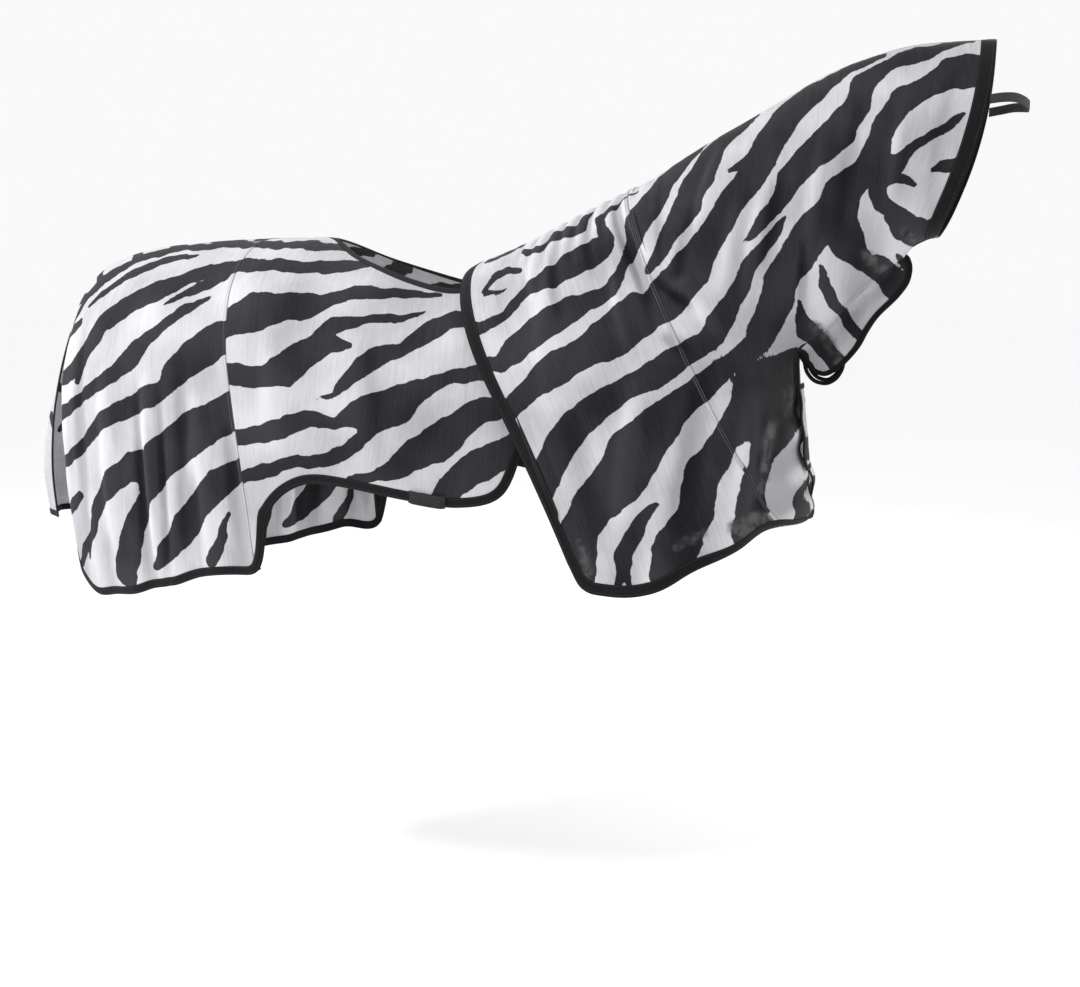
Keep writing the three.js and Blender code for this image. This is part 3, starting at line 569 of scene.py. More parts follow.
class Edge:
    """A line on a form, with the direction into the cloth and the normal at each place."""

    def __init__(self, form, side, corners, inside, step=TAPE_STEP):
        share = np.linspace(0, 1, 160)[:, None]
        legs = zip(np.array(corners[:-1], float), np.array(corners[1:], float))
        places = np.concatenate([start + (end - start) * share for start, end in legs])
        length = run_lengths(form.draped(places[:, 0], places[:, 1], side))
        even = np.linspace(0, length[-1], int(length[-1] / step) + 1)
        self.s = np.interp(even, length, places[:, 0])
        self.t = np.interp(even, length, places[:, 1])
        self.form = form
        self.side = side
        self.length = length[-1]
        self.points, self.normals = form.skin(self.s, self.t, side)
        tangents = unit(np.gradient(self.points, axis=0))
        inward = unit(np.cross(self.normals, tangents))
        middle = form.draped(inside[0], inside[1], side)
        if np.mean(np.sum(inward * (middle - self.points), -1)) < 0:
            inward = -inward
        self.inward = inward
        self.aim(tangents)

    def aim(self, tangents):
        """Finds, for each place, how far to go over the form for each distance into the cloth."""
        form, side = self.form, self.side
        along, down = form.slopes(form.draped, self.s, np.clip(self.t, 0.06, 0.94), side)
        aa, dd, ad, ga, gd = [np.sum(a * b, -1) for a, b in (
            (along, along), (down, down), (along, down), (along, self.inward), (down, self.inward))]
        det = np.maximum(aa * dd - ad * ad, 1e-12)
        self.go = np.stack([(dd * ga - ad * gd) / det, (aa * gd - ad * ga) / det], -1)
        self.reach = np.linspace(0, 0.12, 49)
        s = np.clip(self.s[:, None] + self.go[:, :1] * self.reach, 0, form.last)
        t = np.clip(self.t[:, None] + self.go[:, 1:] * self.reach, 0, 1)
        gap = form.draped(s, t, side) - self.points[:, None]
        gap -= tangents[:, None] * np.sum(gap * tangents[:, None], -1)[..., None]
        self.gone = np.maximum.accumulate(np.linalg.norm(gap, axis=-1), axis=1)

    def at(self, into, lift):
        """Points into metres inside the line, on the cloth, lifted off it."""
        lift = np.broadcast_to(lift, self.s.shape)
        if into <= 0:
            return self.points + self.inward * into + self.normals * lift[:, None]
        reach = np.array([np.interp(into, gone, self.reach) for gone in self.gone])
        s = np.clip(self.s + self.go[:, 0] * reach, 0, self.form.last)
        t = np.clip(self.t + self.go[:, 1] * reach, 0, 1)
        return self.form.skin(s, t, self.side, lift)[0]

    def row(self, into, lift):
        return self.at(into, lift), self.normals

    def weave(self, section):
        return weave_round(np.linspace(0, self.length, len(self.s)), section)


def level_section(half, low, high):
    return [(-half, low), (-half, high), (half, high), (half, low)]


# sections as (distance into the cloth, lift)
LAP = [(0.0, 0.3 * MM), (0.0, 0.6 * MM), (8 * MM, 0.6 * MM), (8 * MM, 0.2 * MM)]  # felled seam
SEAM_TAPE = level_section(SEAM_TAPE_HALF, -CLOTH - 1.3 * MM, -CLOTH - 0.4 * MM)


def binding_section(width):
    """Folded tape round a cloth edge: distance into the cloth and lift, as a closed outline."""
    back = -CLOTH - 0.5 * MM - BINDING
    return [
        (width, 0.35 * MM), (width - 0.6 * MM, PROUD - 0.25 * MM), (width - 2.2 * MM, PROUD - 0.1 * MM),
        (width * 0.55, PROUD + 0.35 * MM), (2.4 * MM, PROUD), (0.4 * MM, PROUD - 0.3 * MM),
        (-1.4 * MM, 0.4 * MM), (-1.8 * MM, -CLOTH / 2), (-1.4 * MM, -CLOTH - 0.4 * MM),
        (0.4 * MM, back + 0.3 * MM), (2.4 * MM, back), (width * 0.55, back - 0.3 * MM),
        (width - 2.2 * MM, back + 0.1 * MM), (width - 0.6 * MM, back + 0.25 * MM),
        (width, -CLOTH - 0.35 * MM),
    ]


def band(name, edge, section, finish, body, replaced=(), stripes=None):
    """A solid of that section along an edge line, printed in line with the panel if it has stripes."""
    shape = sweep(np.stack([edge.at(into, lift) for into, lift in section], 1))
    ink = None if stripes is None else stripes_on(shape[0], stripes, edge.side)
    new_piece(name, shape, finish, body, replaced, edge.weave(section), ink)


def bind(name, edge, width, body, replaced=()):
    band(name, edge, binding_section(width), TAPE, body, replaced)


def stitches(name, routes, finish, body):
    """Rows of small round stitches. Each route is (points, normals)."""
    vertices = []
    faces = []
    turns = 2 * math.pi * np.arange(THREAD_SIDES) / THREAD_SIDES
    for points, normals in routes:
        length = run_lengths(points)
        for number in range(int(length[-1] / STITCH_PITCH)):
            start = number * STITCH_PITCH + 0.5 * (STITCH_PITCH - STITCH)
            places = start + STITCH * np.array([0, 0.3, 0.7, 1])
            line, normal = [np.stack([np.interp(places, length, values[:, k]) for k in range(3)], -1)
                            for values in (points, normals)]
            normal = unit(normal)
            line = line + normal * (THREAD * np.array([-0.9, 0.35, 0.35, -0.9]))[:, None]
            cross = np.cross(unit(line[-1] - line[0]), normal)
            base = len(vertices)
            for place, up, over in zip(line, normal, cross):
                vertices += [place + THREAD * (math.cos(turn) * up + math.sin(turn) * over) for turn in turns]
            for i in range(3):
                for k in range(THREAD_SIDES):
                    n = (k + 1) % THREAD_SIDES
                    a = base + i * THREAD_SIDES
                    faces.append((a + k, a + n, a + THREAD_SIDES + n, a + THREAD_SIDES + k))
            faces.append(tuple(base + k for k in reversed(range(THREAD_SIDES))))
            faces.append(tuple(base + 3 * THREAD_SIDES + k for k in range(THREAD_SIDES)))
    vertices = np.array(vertices)
    new_piece(name, (vertices, faces), finish, body, (), vertices[:, [0, 2]])


# ---------- materials ----------
class Nodes:
    """Short way to write a node material."""

    def __init__(self, name):
        self.material = bpy.data.materials.new(name)
        self.material.use_nodes = True
        self.tree = self.material.node_tree
        self.spot = self.node("ShaderNodeTexCoord").outputs["Object"]

    def node(self, kind, inputs=(), **values):
        """A node with its inputs, by name or place, set to a number or colour or linked to a socket."""
        made = self.tree.nodes.new(kind)
        for key, value in values.items():
            setattr(made, key, value)
        self.fill(made, dict(inputs))
        return made

    def fill(self, made, inputs):
        for key, value in inputs.items():
            if isinstance(value, (int, float)):
                made.inputs[key].default_value = value
            elif isinstance(value, tuple):
                made.inputs[key].default_value = (*value, 1)
            else:
                self.tree.links.new(value, made.inputs[key])

    def math(self, operation, *values):
        return self.node("ShaderNodeMath", enumerate(values), operation=operation).outputs[0]

    def noise(self, scale, detail=2.0, roughness=0.5, place=None):
        inputs = {"Vector": place or self.spot, "Scale": scale, "Detail": detail, "Roughness": roughness}
        return self.node("ShaderNodeTexNoise", inputs).outputs["Fac"]

    def step(self, value, low, high, to_low=0.0, to_high=1.0):
        inputs = {"Value": value, "From Min": low, "From Max": high, "To Min": to_low, "To Max": to_high}
        return self.node("ShaderNodeMapRange", inputs, interpolation_type="SMOOTHSTEP").outputs["Result"]

    def mix(self, share, first, second):
        return self.node("ShaderNodeMix", {0: share, 6: first, 7: second}, data_type="RGBA").outputs[2]

    def bump(self, height, strength, distance, under=None):
        inputs = {"Height": height, "Strength": strength, "Distance": distance}
        if under is not None:
            inputs["Normal"] = under
        return self.node("ShaderNodeBump", inputs).outputs["Normal"]

    def weave(self):
        """Metres across and down the cloth, or along and across a tape."""
        uv = self.node("ShaderNodeUVMap", uv_map="weave").outputs["UV"]
        split = self.node("ShaderNodeSeparateXYZ", {0: uv})
        return split.outputs["X"], split.outputs["Y"]

    def wave(self, place, pitch):
        return self.math("SINE", self.math("MULTIPLY", place, 2 * math.pi / pitch))

    def read(self, name):
        return self.node("ShaderNodeAttribute", attribute_name=name, attribute_type="GEOMETRY").outputs["Fac"]

    def finish(self, colour, normal, roughness, specular=None, sheen=None, sheen_roughness=None):
        inputs = {"Base Color": colour, "Normal": normal, "Roughness": roughness, "Sheen Weight": sheen,
                  "Sheen Roughness": sheen_roughness, "Specular IOR Level": specular}
        shader = self.tree.nodes["Principled BSDF"]
        self.fill(shader, {key: value for key, value in inputs.items() if value is not None})
        return self.material


# cloth colours: random dust, plus painted fold light; the white is darker in fold valleys (painted shade),
# and the black is paler on fold crests (painted highlight)
WHITE_CLEAN_AND_LIT, WHITE_DUSTY_AND_SHADED = (0.63, 0.63, 0.65), (0.36, 0.363, 0.385)
BLACK_CLEAN_AND_SHADED, BLACK_DUSTY_AND_SHEEN = (0.0035, 0.0035, 0.0050), (0.031, 0.031, 0.036)
# greys painted into the black print where light from the layer behind would show through
BEHIND_DARK, BEHIND_PALE = (0.020, 0.020, 0.022), (0.085, 0.085, 0.088)
# grey painted into the knit's holes: shade over the white, light from behind over the black
PAINTED_HOLE_GREY = (0.10, 0.10, 0.11)
MESH_PITCH = 1.9 * MM
RIB_PITCH = 1.1 * MM
WARP_PITCH = 0.7 * MM
TWILL_PITCH = 1.5 * MM
HERRINGBONE = 3 * MM
ELASTIC_CORD = 2.2 * MM
ELASTIC_RIDGE = 0.9 * MM
HOOK_PITCH = 1.6 * MM


def mesh_cloth():
    """Fine warp-knit mesh printed with stripes; painted grey at its holes and in see-through places, and
    painted shade and highlight on its folds.
    """
    n = Nodes("mesh_cloth")
    across, down = n.weave()
    wobble = n.math("SUBTRACT", n.noise(70, 3), 0.5)
    fray = n.math("SUBTRACT", n.noise(420), 0.5)
    ink = n.math("MULTIPLY_ADD", wobble, 0.0065, n.read("ink"))
    ink = n.math("MULTIPLY_ADD", fray, 0.0013, ink)
    printed = n.step(ink, -0.0007, 0.0007)
    # knit: rows of holes set off by half a pitch, and the threads between them
    threads = n.math("MULTIPLY", n.wave(down, MESH_PITCH), n.wave(across, MESH_PITCH))
    holes = n.step(threads, 0.35, 0.95)
    loops = n.math("MULTIPLY", n.wave(down, MESH_PITCH / 3), 0.12)
    cord = n.math("ADD", n.math("MULTIPLY", threads, -0.5), loops)
    run = n.node("ShaderNodeCombineXYZ", {0: across, 1: n.math("MULTIPLY", down, 0.05)}).outputs[0]
    streak = n.noise(190, 3, 0.7, run)
    blotch = n.noise(7, 4, 0.55)
    # random dust in blotches and streaks, plus painted shade in the folds' valleys and a painted highlight on
    # their crests
    dust_and_fold_shade = n.math("MULTIPLY_ADD", blotch, 0.35, n.math("MULTIPLY", streak, 0.25))
    dust_and_fold_shade = n.math("MULTIPLY_ADD", n.read("fold"), 0.20, n.math("ADD", dust_and_fold_shade, 0.20))
    dust_and_fold_shade = n.step(dust_and_fold_shade, 0.3, 0.7)
    white = n.mix(dust_and_fold_shade, WHITE_DUSTY_AND_SHADED, WHITE_CLEAN_AND_LIT)
    black = n.mix(dust_and_fold_shade, BLACK_CLEAN_AND_SHADED, BLACK_DUSTY_AND_SHEEN)
    colour = n.mix(printed, white, black)
    # painted see-through: grey light from the layer behind, painted into the black print
    veil = n.step(n.math("MULTIPLY_ADD", wobble, 0.014, n.read("veil")), -0.006, 0.009)
    behind = n.mix(n.step(n.noise(34, 4, 0.6), 0.36, 0.64), BEHIND_DARK, BEHIND_PALE)
    colour = n.mix(veil, colour, behind)
    # painted grey in the knit's holes: painted shade over the white, painted light from behind over the black
    colour = n.mix(n.math("MULTIPLY", holes, 0.30), colour, PAINTED_HOLE_GREY)
    wrinkle = n.math("ADD", n.noise(26, 3, 0.6), n.math("MULTIPLY", n.noise(90), 0.25))
    normal = n.bump(wrinkle, 0.5, 0.004, n.bump(cord, 0.55, 0.0004))
    return n.finish(colour, normal, n.step(printed, 0, 1, 0.88, 0.72), 0.12, 0.04, 0.4)


def tape_cloth():
    """Black polyester grosgrain: ribs across the tape, a finer warp along it, dusty spots, and painted shade
    between the ribs.
    """
    n = Nodes("black_tape")
    along, across = n.weave()
    ribs = n.wave(along, RIB_PITCH)
    height = n.math("ADD", ribs, n.math("MULTIPLY", n.wave(across, WARP_PITCH), 0.35))
    dust = n.step(n.noise(38, 4, 0.65), 0.45, 0.85)
    lint = n.step(n.noise(600), 0.62, 0.8)
    worn = n.math("MULTIPLY_ADD", lint, 0.35, n.math("MULTIPLY", dust, 0.6))
    colour = n.mix(worn, (0.0050, 0.0050, 0.0060), (0.018, 0.018, 0.020))
    # painted shade in the grooves between the ribs
    colour = n.mix(n.step(ribs, -1, 0.2, 0.35, 0.0), colour, (0.004, 0.004, 0.005))
    normal = n.bump(height, 0.6, 0.00035, n.bump(n.noise(60, 3), 0.3, 0.002))
    return n.finish(colour, normal, n.step(dust, 0, 1, 0.72, 0.9), 0.14, 0.03)


def webbing_cloth():
    """Doubled black webbing with a herringbone weave."""
    n = Nodes("black_webbing")
    along, across = n.weave()
    twill = n.wave(n.math("ADD", along, n.math("PINGPONG", across, HERRINGBONE)), TWILL_PITCH)
    dust = n.step(n.noise(45, 4, 0.6), 0.4, 0.85)
    colour = n.mix(dust, (0.010, 0.010, 0.012), (0.030, 0.030, 0.034))
    # painted shade in the low lines of the twill
    colour = n.mix(n.step(twill, -1, 0, 0.5, 0.0), colour, (0.003, 0.003, 0.004))
    return n.finish(colour, n.bump(twill, 0.7, 0.0005), n.step(dust, 0, 1, 0.6, 0.85), 0.35)


def elastic_cloth():
    """Black ribbed elastic: fine ridges across and rubber cords along."""
    n = Nodes("black_elastic")
    along, across = n.weave()
    ridges = n.math("MULTIPLY", n.wave(along, ELASTIC_RIDGE), 0.5)
    height = n.math("ADD", n.wave(across, ELASTIC_CORD), ridges)
    worn = n.step(n.noise(90, 3), 0.4, 0.8)
    colour = n.mix(worn, (0.010, 0.010, 0.011), (0.026, 0.026, 0.029))
    return n.finish(colour, n.bump(height, 0.6, 0.0004), n.step(worn, 0, 1, 0.55, 0.75), sheen=0.06)


def grip_cloth(name, hooks):
    """Hook tape (rows of small stiff hooks) or loop tape (fuzzy knit)."""
    n = Nodes(name)
    if hooks:
        along, across = n.weave()
        dots = n.math("MULTIPLY", n.wave(along, HOOK_PITCH), n.wave(across, HOOK_PITCH))
        height = n.step(dots, 0.1, 0.7)
        low, high, rough = (0.008, 0.008, 0.009), (0.05, 0.05, 0.055), (0.45, 0.6)
    else:
        height = n.noise(900, 4, 0.75)
        low, high, rough = (0.012, 0.012, 0.014), (0.055, 0.055, 0.060), (0.9, 0.98)
    roughness = n.step(n.noise(50, 3), 0.3, 0.7, *rough)
    # colour follows the bump's height: painted shade between the hooks and in the hollows of the fuzz, paler
    # tops
    return n.finish(n.mix(height, low, high), n.bump(height, 0.8, 0.0006), roughness, sheen=0.1)


def thread_cloth(name, dark, light):
    """Twisted sewing thread."""
    n = Nodes(name)
    twist = n.noise(1800)
    # colour follows the twist's bump: painted shade in its grooves
    colour = n.mix(n.step(twist, 0.35, 0.65), dark, light)
    return n.finish(colour, n.bump(twist, 0.5, 0.0002), n.step(twist, 0.3, 0.7, 0.55, 0.7))


def floor_paint():
    n = Nodes("pale_floor")
    colour = n.mix(n.noise(0.8), (0.98, 0.98, 0.98), (0.995, 0.995, 0.995))
    return n.finish(colour, None, 0.9, 0.1)


# finishes: material and slot
BLACK_THREAD = thread_cloth("black_thread", (0.02, 0.02, 0.022), (0.06, 0.06, 0.065))
GREY_THREAD = thread_cloth("grey_thread", (0.16, 0.16, 0.17), (0.30, 0.30, 0.31))
MESH_CLOTH = (mesh_cloth(), "striped_mesh")
TAPE = (tape_cloth(), "edge_tape")
WEBBING = (webbing_cloth(), "webbing")
ELASTIC = (elastic_cloth(), "elastic")
HOOK = (grip_cloth("hook_tape", True), "hook_tape")
LOOP = (grip_cloth("loop_tape", False), "loop_tape")
SEAM_STITCH = (GREY_THREAD, "striped_mesh")
TAPE_STITCH = (BLACK_THREAD, "edge_tape")
WEBBING_STITCH = (BLACK_THREAD, "webbing")
ELASTIC_STITCH = (BLACK_THREAD, "elastic")


def two_rows(edge, width):
    """Stitches near both edges of a wide binding."""
    return [edge.row(width - 2.6 * MM, PROUD), edge.row(4 * MM, BINDING + 0.6 * MM)]


def side_seam(name, word, side, form, station, inside, stripes, body):
    """Felled seam from the top to the hem, the tape sewn over it inside, and its stitches."""
    seam = Edge(form, side, [(station, 0), (station, 1)], inside)
    band(f"{name}_lap_{word}", seam, LAP, MESH_CLOTH, body, stripes=stripes)
    band(f"{name}_binding_{word}", seam, SEAM_TAPE, TAPE, body, [f"{name}_tape_{word}"])
    rows = [seam.row(into, STITCH_LIFT) for into in (1.3 * MM, 6.7 * MM)]
    stitches(f"{name}_stitches_{word}", rows, SEAM_STITCH, body)


def cover_side(word, side):
    body = "neck_cover"
    for name, stations in (("shoulder", (0, NECK_SEAM)), ("neck", (NECK_SEAM, cover.last))):
        panel(f"{name}_cloth_{word}", cover, side, stations, COVER_PRINT, body, [f"{name}_panel_{word}"],
              COVER_VEIL)
    side_seam("neck_seam", word, side, cover, NECK_SEAM, (2.0, 0.5), COVER_PRINT, body)

    rear = Edge(cover, side, [(0, 0), (0, 1), (HEM_CORNER, 1)], (3.0, 0.5))
    bind(f"cover_binding_{word}", rear, COVER_WIDTH, body, [f"cover_edge_tape_{word}"])
    face = Edge(cover, side, [(cover.last, 0), (cover.last, 1)], (12.0, 0.5))
    bind(f"face_binding_{word}", face, FACE_WIDTH, body, [f"face_tape_{word}"])
    jaw = Edge(cover, side, [(JAW_CORNER, 1), (cover.last, 1)], (11.0, 0.5))
    band(f"throat_binding_{word}", jaw, binding_section(SMALL_WIDTH), MESH_CLOTH, body,
         [f"throat_edge_tape_{word}"], COVER_PRINT)
    front = Edge(cover, side, [(HEM_CORNER, 1), (JAW_CORNER, 1)], (6.0, 0.5))
    bind(f"chest_binding_{word}", front, CHEST_WIDTH, body)
    rows = two_rows(rear, COVER_WIDTH) + two_rows(face, FACE_WIDTH) + [front.row(4.8 * MM, PROUD)]
    stitches(f"cover_stitches_{word}", rows, TAPE_STITCH, body)


def sheet_side(word, side):
    body = "quarter_sheet"
    last = sheet.last
    panel(f"hind_cloth_{word}", sheet, side, (0, HIP_SEAM), HIND_PRINT, body, [f"hind_panel_{word}"])
    panel(f"flank_cloth_{word}", sheet, side, (HIP_SEAM, last), SIDE_PRINT, body, [f"side_panel_{word}"])
    side_seam("hip_seam", word, side, sheet, HIP_SEAM, (3.0, 0.5), HIND_PRINT, body)

    hem = Edge(sheet, side, [(0, 0), (0, 1), (last, 1), (last, 0.06)], (6.0, 0.5))
    bind(f"hem_binding_{word}", hem, EDGE_WIDTH, body, [f"hem_tape_{word}"])
    cut = Edge(sheet, side, [(CUTOUT_FROM, 0), (last, 0)], (10.0, 0.5))
    bind(f"saddle_binding_{word}", cut, EDGE_WIDTH, body, [f"saddle_edge_tape_{word}"])
    rows = two_rows(hem, EDGE_WIDTH) + two_rows(cut, EDGE_WIDTH)
    stitches(f"sheet_stitches_{word}", rows, TAPE_STITCH, body)


def pad(name, form, side, stations, rows, lift, thick, finish, body, replaced):
    """Small closed plate on a form, thinner at its rim."""
    middle = form.draped(np.linspace(*stations, 20), np.mean(rows), side)
    edge = form.draped(np.mean(stations), np.linspace(*rows, 20), side)
    columns, lines = [int(run_lengths(line)[-1] / PAD_GRID) + 3 for line in (middle, edge)]
    s, t = np.meshgrid(np.linspace(*stations, columns), np.linspace(*rows, lines), indexing="ij")
    i, j = np.indices(s.shape)
    rim = (i == 0) | (i == columns - 1) | (j == 0) | (j == lines - 1)
    thin = np.where(rim, 0.25 * thick, 0.0)
    shape = plate(form.skin(s, t, side, lift - thin)[0], form.skin(s, t, side, lift - thick + thin)[0])
    weave = pairs(np.arange(columns), np.arange(lines)) * PAD_GRID
    new_piece(name, shape, finish, body, replaced, np.tile(weave, (2, 1)))


def withers_pads(word, side):
    rows = (0.25, 0.333)
    pad(f"withers_loop_patch_{word}", cover, side, (2.0, 2.5), rows, -CLOTH - 0.3 * MM, 1.5 * MM, LOOP,
        "neck_cover", [f"withers_loop_pad_{word}"])
    pad(f"withers_hook_patch_{word}", sheet, side, (12.0, 12.5), rows, 1.7 * MM, 1.5 * MM, HOOK,
        "quarter_sheet", [f"withers_hook_pad_{word}"])


def topline_seam(name, form, stations, stripes, body, replaced):
    """Felled seam over the midline, and the black tape that covers it inside."""
    edge = Edge(form, 1, [(stations[0], 0), (stations[1], 0)], (np.mean(stations), 0.5))
    line = edge.points * [1, 0, 1]
    level = unit(edge.normals * [1, 0, 1])

    def solid(outline):
        return sweep(np.stack([line + level * high + LEFT * out for out, high in outline], 1))

    lap = [(-4.5 * MM, 0.05 * MM), (-4 * MM, 0.6 * MM), (4 * MM, 0.6 * MM), (4.5 * MM, 0.05 * MM)]
    shape = solid(lap)
    ink = stripes_on(shape[0], stripes, -1)
    new_piece(f"{name}_lap", shape, MESH_CLOTH, body, (), edge.weave(lap), ink)
    tape = level_section(SEAM_TAPE_HALF, -CLOTH - 1.4 * MM, -CLOTH - 0.5 * MM)
    new_piece(f"{name}_binding", solid(tape), TAPE, body, replaced, edge.weave(tape))
    rows = [(line + level * STITCH_LIFT + LEFT * out, level) for out in (-2.6 * MM, 2.6 * MM)]
    stitches(f"{name}_stitches", rows, SEAM_STITCH, body)


# ---------- strips along a line ----------
def strip(name, line, ways, outline, finish, body, replaced=()):
    """Solid along a line; the outline's two numbers go the two ways from it, in metres."""
    shape = sweep(np.stack([line + ways[0] * one + ways[1] * two for one, two in outline], 1))
    new_piece(name, shape, finish, body, replaced, weave_round(run_lengths(line), outline))


# half of the strap's route from the face tape to the forehead, mm
BROW = [(937, 103, 266), (962, 96, 269), (985, 76, 270), (1003, 47, 266), (1012, 18, 262)]
BROW_WIDTH = 18 * MM
BROW_THICK = 2.2 * MM


def brow_strap():
    half = np.array(BROW, float) * MM
    route = np.concatenate([half * [1, -1, 1], half[::-1]])
    line = through(route, np.linspace(0, len(route) - 1, 121))
    line[:, 0] = np.minimum(line[:, 0], half[-1, 0])
    away = unit(np.cross(unit(np.gradient(line, axis=0)), UP))
    outline = [(-0.5, -0.3), (-0.5, -0.75), (-0.42, -1), (0.42, -1), (0.5, -0.75), (0.5, -0.3), (0.42, 0),
               (-0.42, 0)]
    outline = [(up * BROW_WIDTH, deep * BROW_THICK) for up, deep in outline]
    strip("brow_elastic", line, (UP, away), outline, ELASTIC, "neck_cover", ["brow_strap"])
    rows = []
    for part in (slice(2, 12), slice(-12, -2)):  # where the strap is sewn to the face tape
        for up in (-0.36, 0.0, 0.36):
            rows.append((line[part] + away[part] * 0.1 * MM + UP * BROW_WIDTH * up, away[part]))
    stitches("brow_stitches", rows, ELASTIC_STITCH, "neck_cover")


# ---------- flaps as small patches ----------
class Patch(Form):
    """A free flap as a surface over (s, t), both from 0 to 1."""

    def __init__(self, shape, turn):
        self.shape = shape
        self.last = 1
        self.turn = turn
        self.folds = None

    def plain(self, s, t, side):
        return self.shape(s, t, side), t

    def draped(self, s, t, side):
        return self.shape(*np.broadcast_arrays(np.asarray(s, float), np.asarray(t, float)), side)


def place(origin, *moves):
    """The origin moved by amounts along directions."""
    return origin + sum(np.asarray(amount)[..., None] * way for amount, way in moves)


NECK_LOW = np.array([0.576, 0, -0.236])
NECK_UP = unit(np.array([0.216, 0, 0.216]))
NECK_AWAY = unit(np.array([0.216, 0, -0.216]))
NECK_LONG = math.hypot(0.216, 0.216)
THROAT_ROOT = -0.009  # away from the hinge line
# free edge of the throat flap: along the neck's underside and away from it, mm
THROAT_EDGE = [(0, 8), (0, 30), (5, 54), (20, 70), (52, 76), (98, 72), (138, 60), (176, 52), (228, 51),
               (260, 46), (280, 35), (293, 22), (300, 8)]


def throat_shape(s, t, side):
    edge = through(THROAT_EDGE, s * (len(THROAT_EDGE) - 1)) * MM
    root_along = (0.02 + 0.96 * s) * NECK_LONG
    along = root_along + (edge[..., 0] - root_along) * t
    away = THROAT_ROOT + (edge[..., 1] - THROAT_ROOT) * t
    root = 0.0075 * np.exp(-((t / 0.16) ** 2))  # out to the neck panel's hem
    belly = 0.013 * np.sin(math.pi * np.clip(s, 0, 1)) * smooth(0.1, 0.7, t)
    wave = 0.0050 * smooth(0.12, 1, t) * (1 + np.sin(2 * math.pi * along / 0.098 + 0.8 * side))
    out = 0.0032 + root + belly + wave
    return place(NECK_LOW, (along, NECK_UP), (away, NECK_AWAY), (side * out, LEFT))


CHEST_FOOT = np.array([0.609, 0, -0.571])
CHEST_LEAN = math.atan2(37, 331)
CHEST_FORWARD = np.array([math.cos(CHEST_LEAN), 0, math.sin(CHEST_LEAN)])
CHEST_UP = np.array([-math.sin(CHEST_LEAN), 0, math.cos(CHEST_LEAN)])
CHEST_SPAN = (0.100, 0.280)
CHEST_LEFT = 0.016
CHEST_RIGHT = -0.059
CHEST_PRINT = [[(58, -40, 1.5), (62, -44, 2), (66, -50, 1)]]


def chest_shape(s, t, side):
    up = CHEST_SPAN[0] + (CHEST_SPAN[1] - CHEST_SPAN[0]) * s
    y = CHEST_LEFT + (CHEST_RIGHT - CHEST_LEFT) * t
    forward = 0.0075 + 0.0030 * np.sin(math.pi * t) + 0.0016 * t * np.sin(2 * math.pi * up / 0.075)
    return place(CHEST_FOOT, (up, CHEST_UP), (forward, CHEST_FORWARD), (y, LEFT))


# tail flap: z, x, half width, depth of its curve, mm
TAIL = [(-150, -1216, 42, 8), (-235, -1250, 62, 26), (-330, -1288, 76, 46), (-430, -1322, 84, 62),
        (-540, -1338, 88, 72), (-668, -1326, 86, 70)]


def tail_shape(s, t, side):
    at = (0.01 + 0.98 * s) * (len(TAIL) - 1)
    z, x, half, deep = np.moveaxis(through(TAIL, at) * MM, -1, 0)
    across = (2 * t - 1) * 0.99
    fold = 0.0050 * smooth(0.15, 1, s) * np.cos(2 * math.pi * (across * 1.35 + 0.12))
    fold = fold + 0.0020 * np.sin(9 * s + 5 * across)
    return np.stack([x + deep * across**2 + fold, half * across, z], -1)


throat = Patch(throat_shape, 1)
chest = Patch(chest_shape, -1)
tail = Patch(tail_shape, -1)

# tape loop at the lower corner of each throat flap: along the neck's underside, away from it, mm
THROAT_LOOP = {
    "right": [(3, 16), (-8, 36), (-9, 60), (4, 80), (24, 87), (45, 83), (60, 74)],
    "left": [(3, 22), (-3, 42), (-2, 60), (9, 76), (27, 80), (44, 77), (56, 71)],
}
LOOP_OUTLINE = [(4.2, 0), (3.8, 0.7), (-3.8, 0.7), (-4.2, 0), (-3.8, -0.7), (3.8, -0.7)]  # mm
LOOP_OUT = 0.013


def throat_loop(word, side):
    route = THROAT_LOOP[word]
    along, away = np.moveaxis(through(route, np.linspace(0, len(route) - 1, 61)) * MM, -1, 0)
    line = place(NECK_LOW, (along, NECK_UP), (away, NECK_AWAY), (side * LOOP_OUT, LEFT))
    across = unit(np.cross(unit(np.gradient(line, axis=0)), LEFT))
    outline = [(wide * MM, high * MM) for wide, high in LOOP_OUTLINE]
    strip(f"throat_loop_{word}", line, (across, LEFT), outline, TAPE, f"throat_flap_{word}")


def throat_flap(word, side):
    flap = f"throat_flap_{word}"
    # the hinge between neck cover and flap, as two points; nothing reads them, and these pieces keep their
    # transform baked, attached to no body
    body = ("neck_cover", flap, tuple(NECK_LOW - 0.004 * NECK_AWAY), tuple(NECK_LOW + 0.018 * NECK_AWAY))
    panel(f"throat_cloth_{word}", throat, side, (0, 1), COVER_PRINT, body, [flap], COVER_VEIL)
    edge = Edge(throat, side, [(0, 0.1), (0, 1), (1, 1), (1, 0.1)], (0.5, 0.5), FLAP_STEP)
    bind(f"throat_flap_binding_{word}", edge, SMALL_WIDTH, body, [f"throat_flap_tape_{word}"])
    stitches(f"throat_flap_stitches_{word}", [edge.row(SMALL_ROW, PROUD)], TAPE_STITCH, body)
    throat_loop(word, side)
    kind, finish = ("hook", HOOK) if side < 0 else ("loop", LOOP)
    pad(f"throat_{kind}_patch", throat, side, (0.36, 0.62), (0.42, 0.68), PAD_LIFT, PAD_THICK, finish, flap,
        [f"throat_{kind}_strip"])


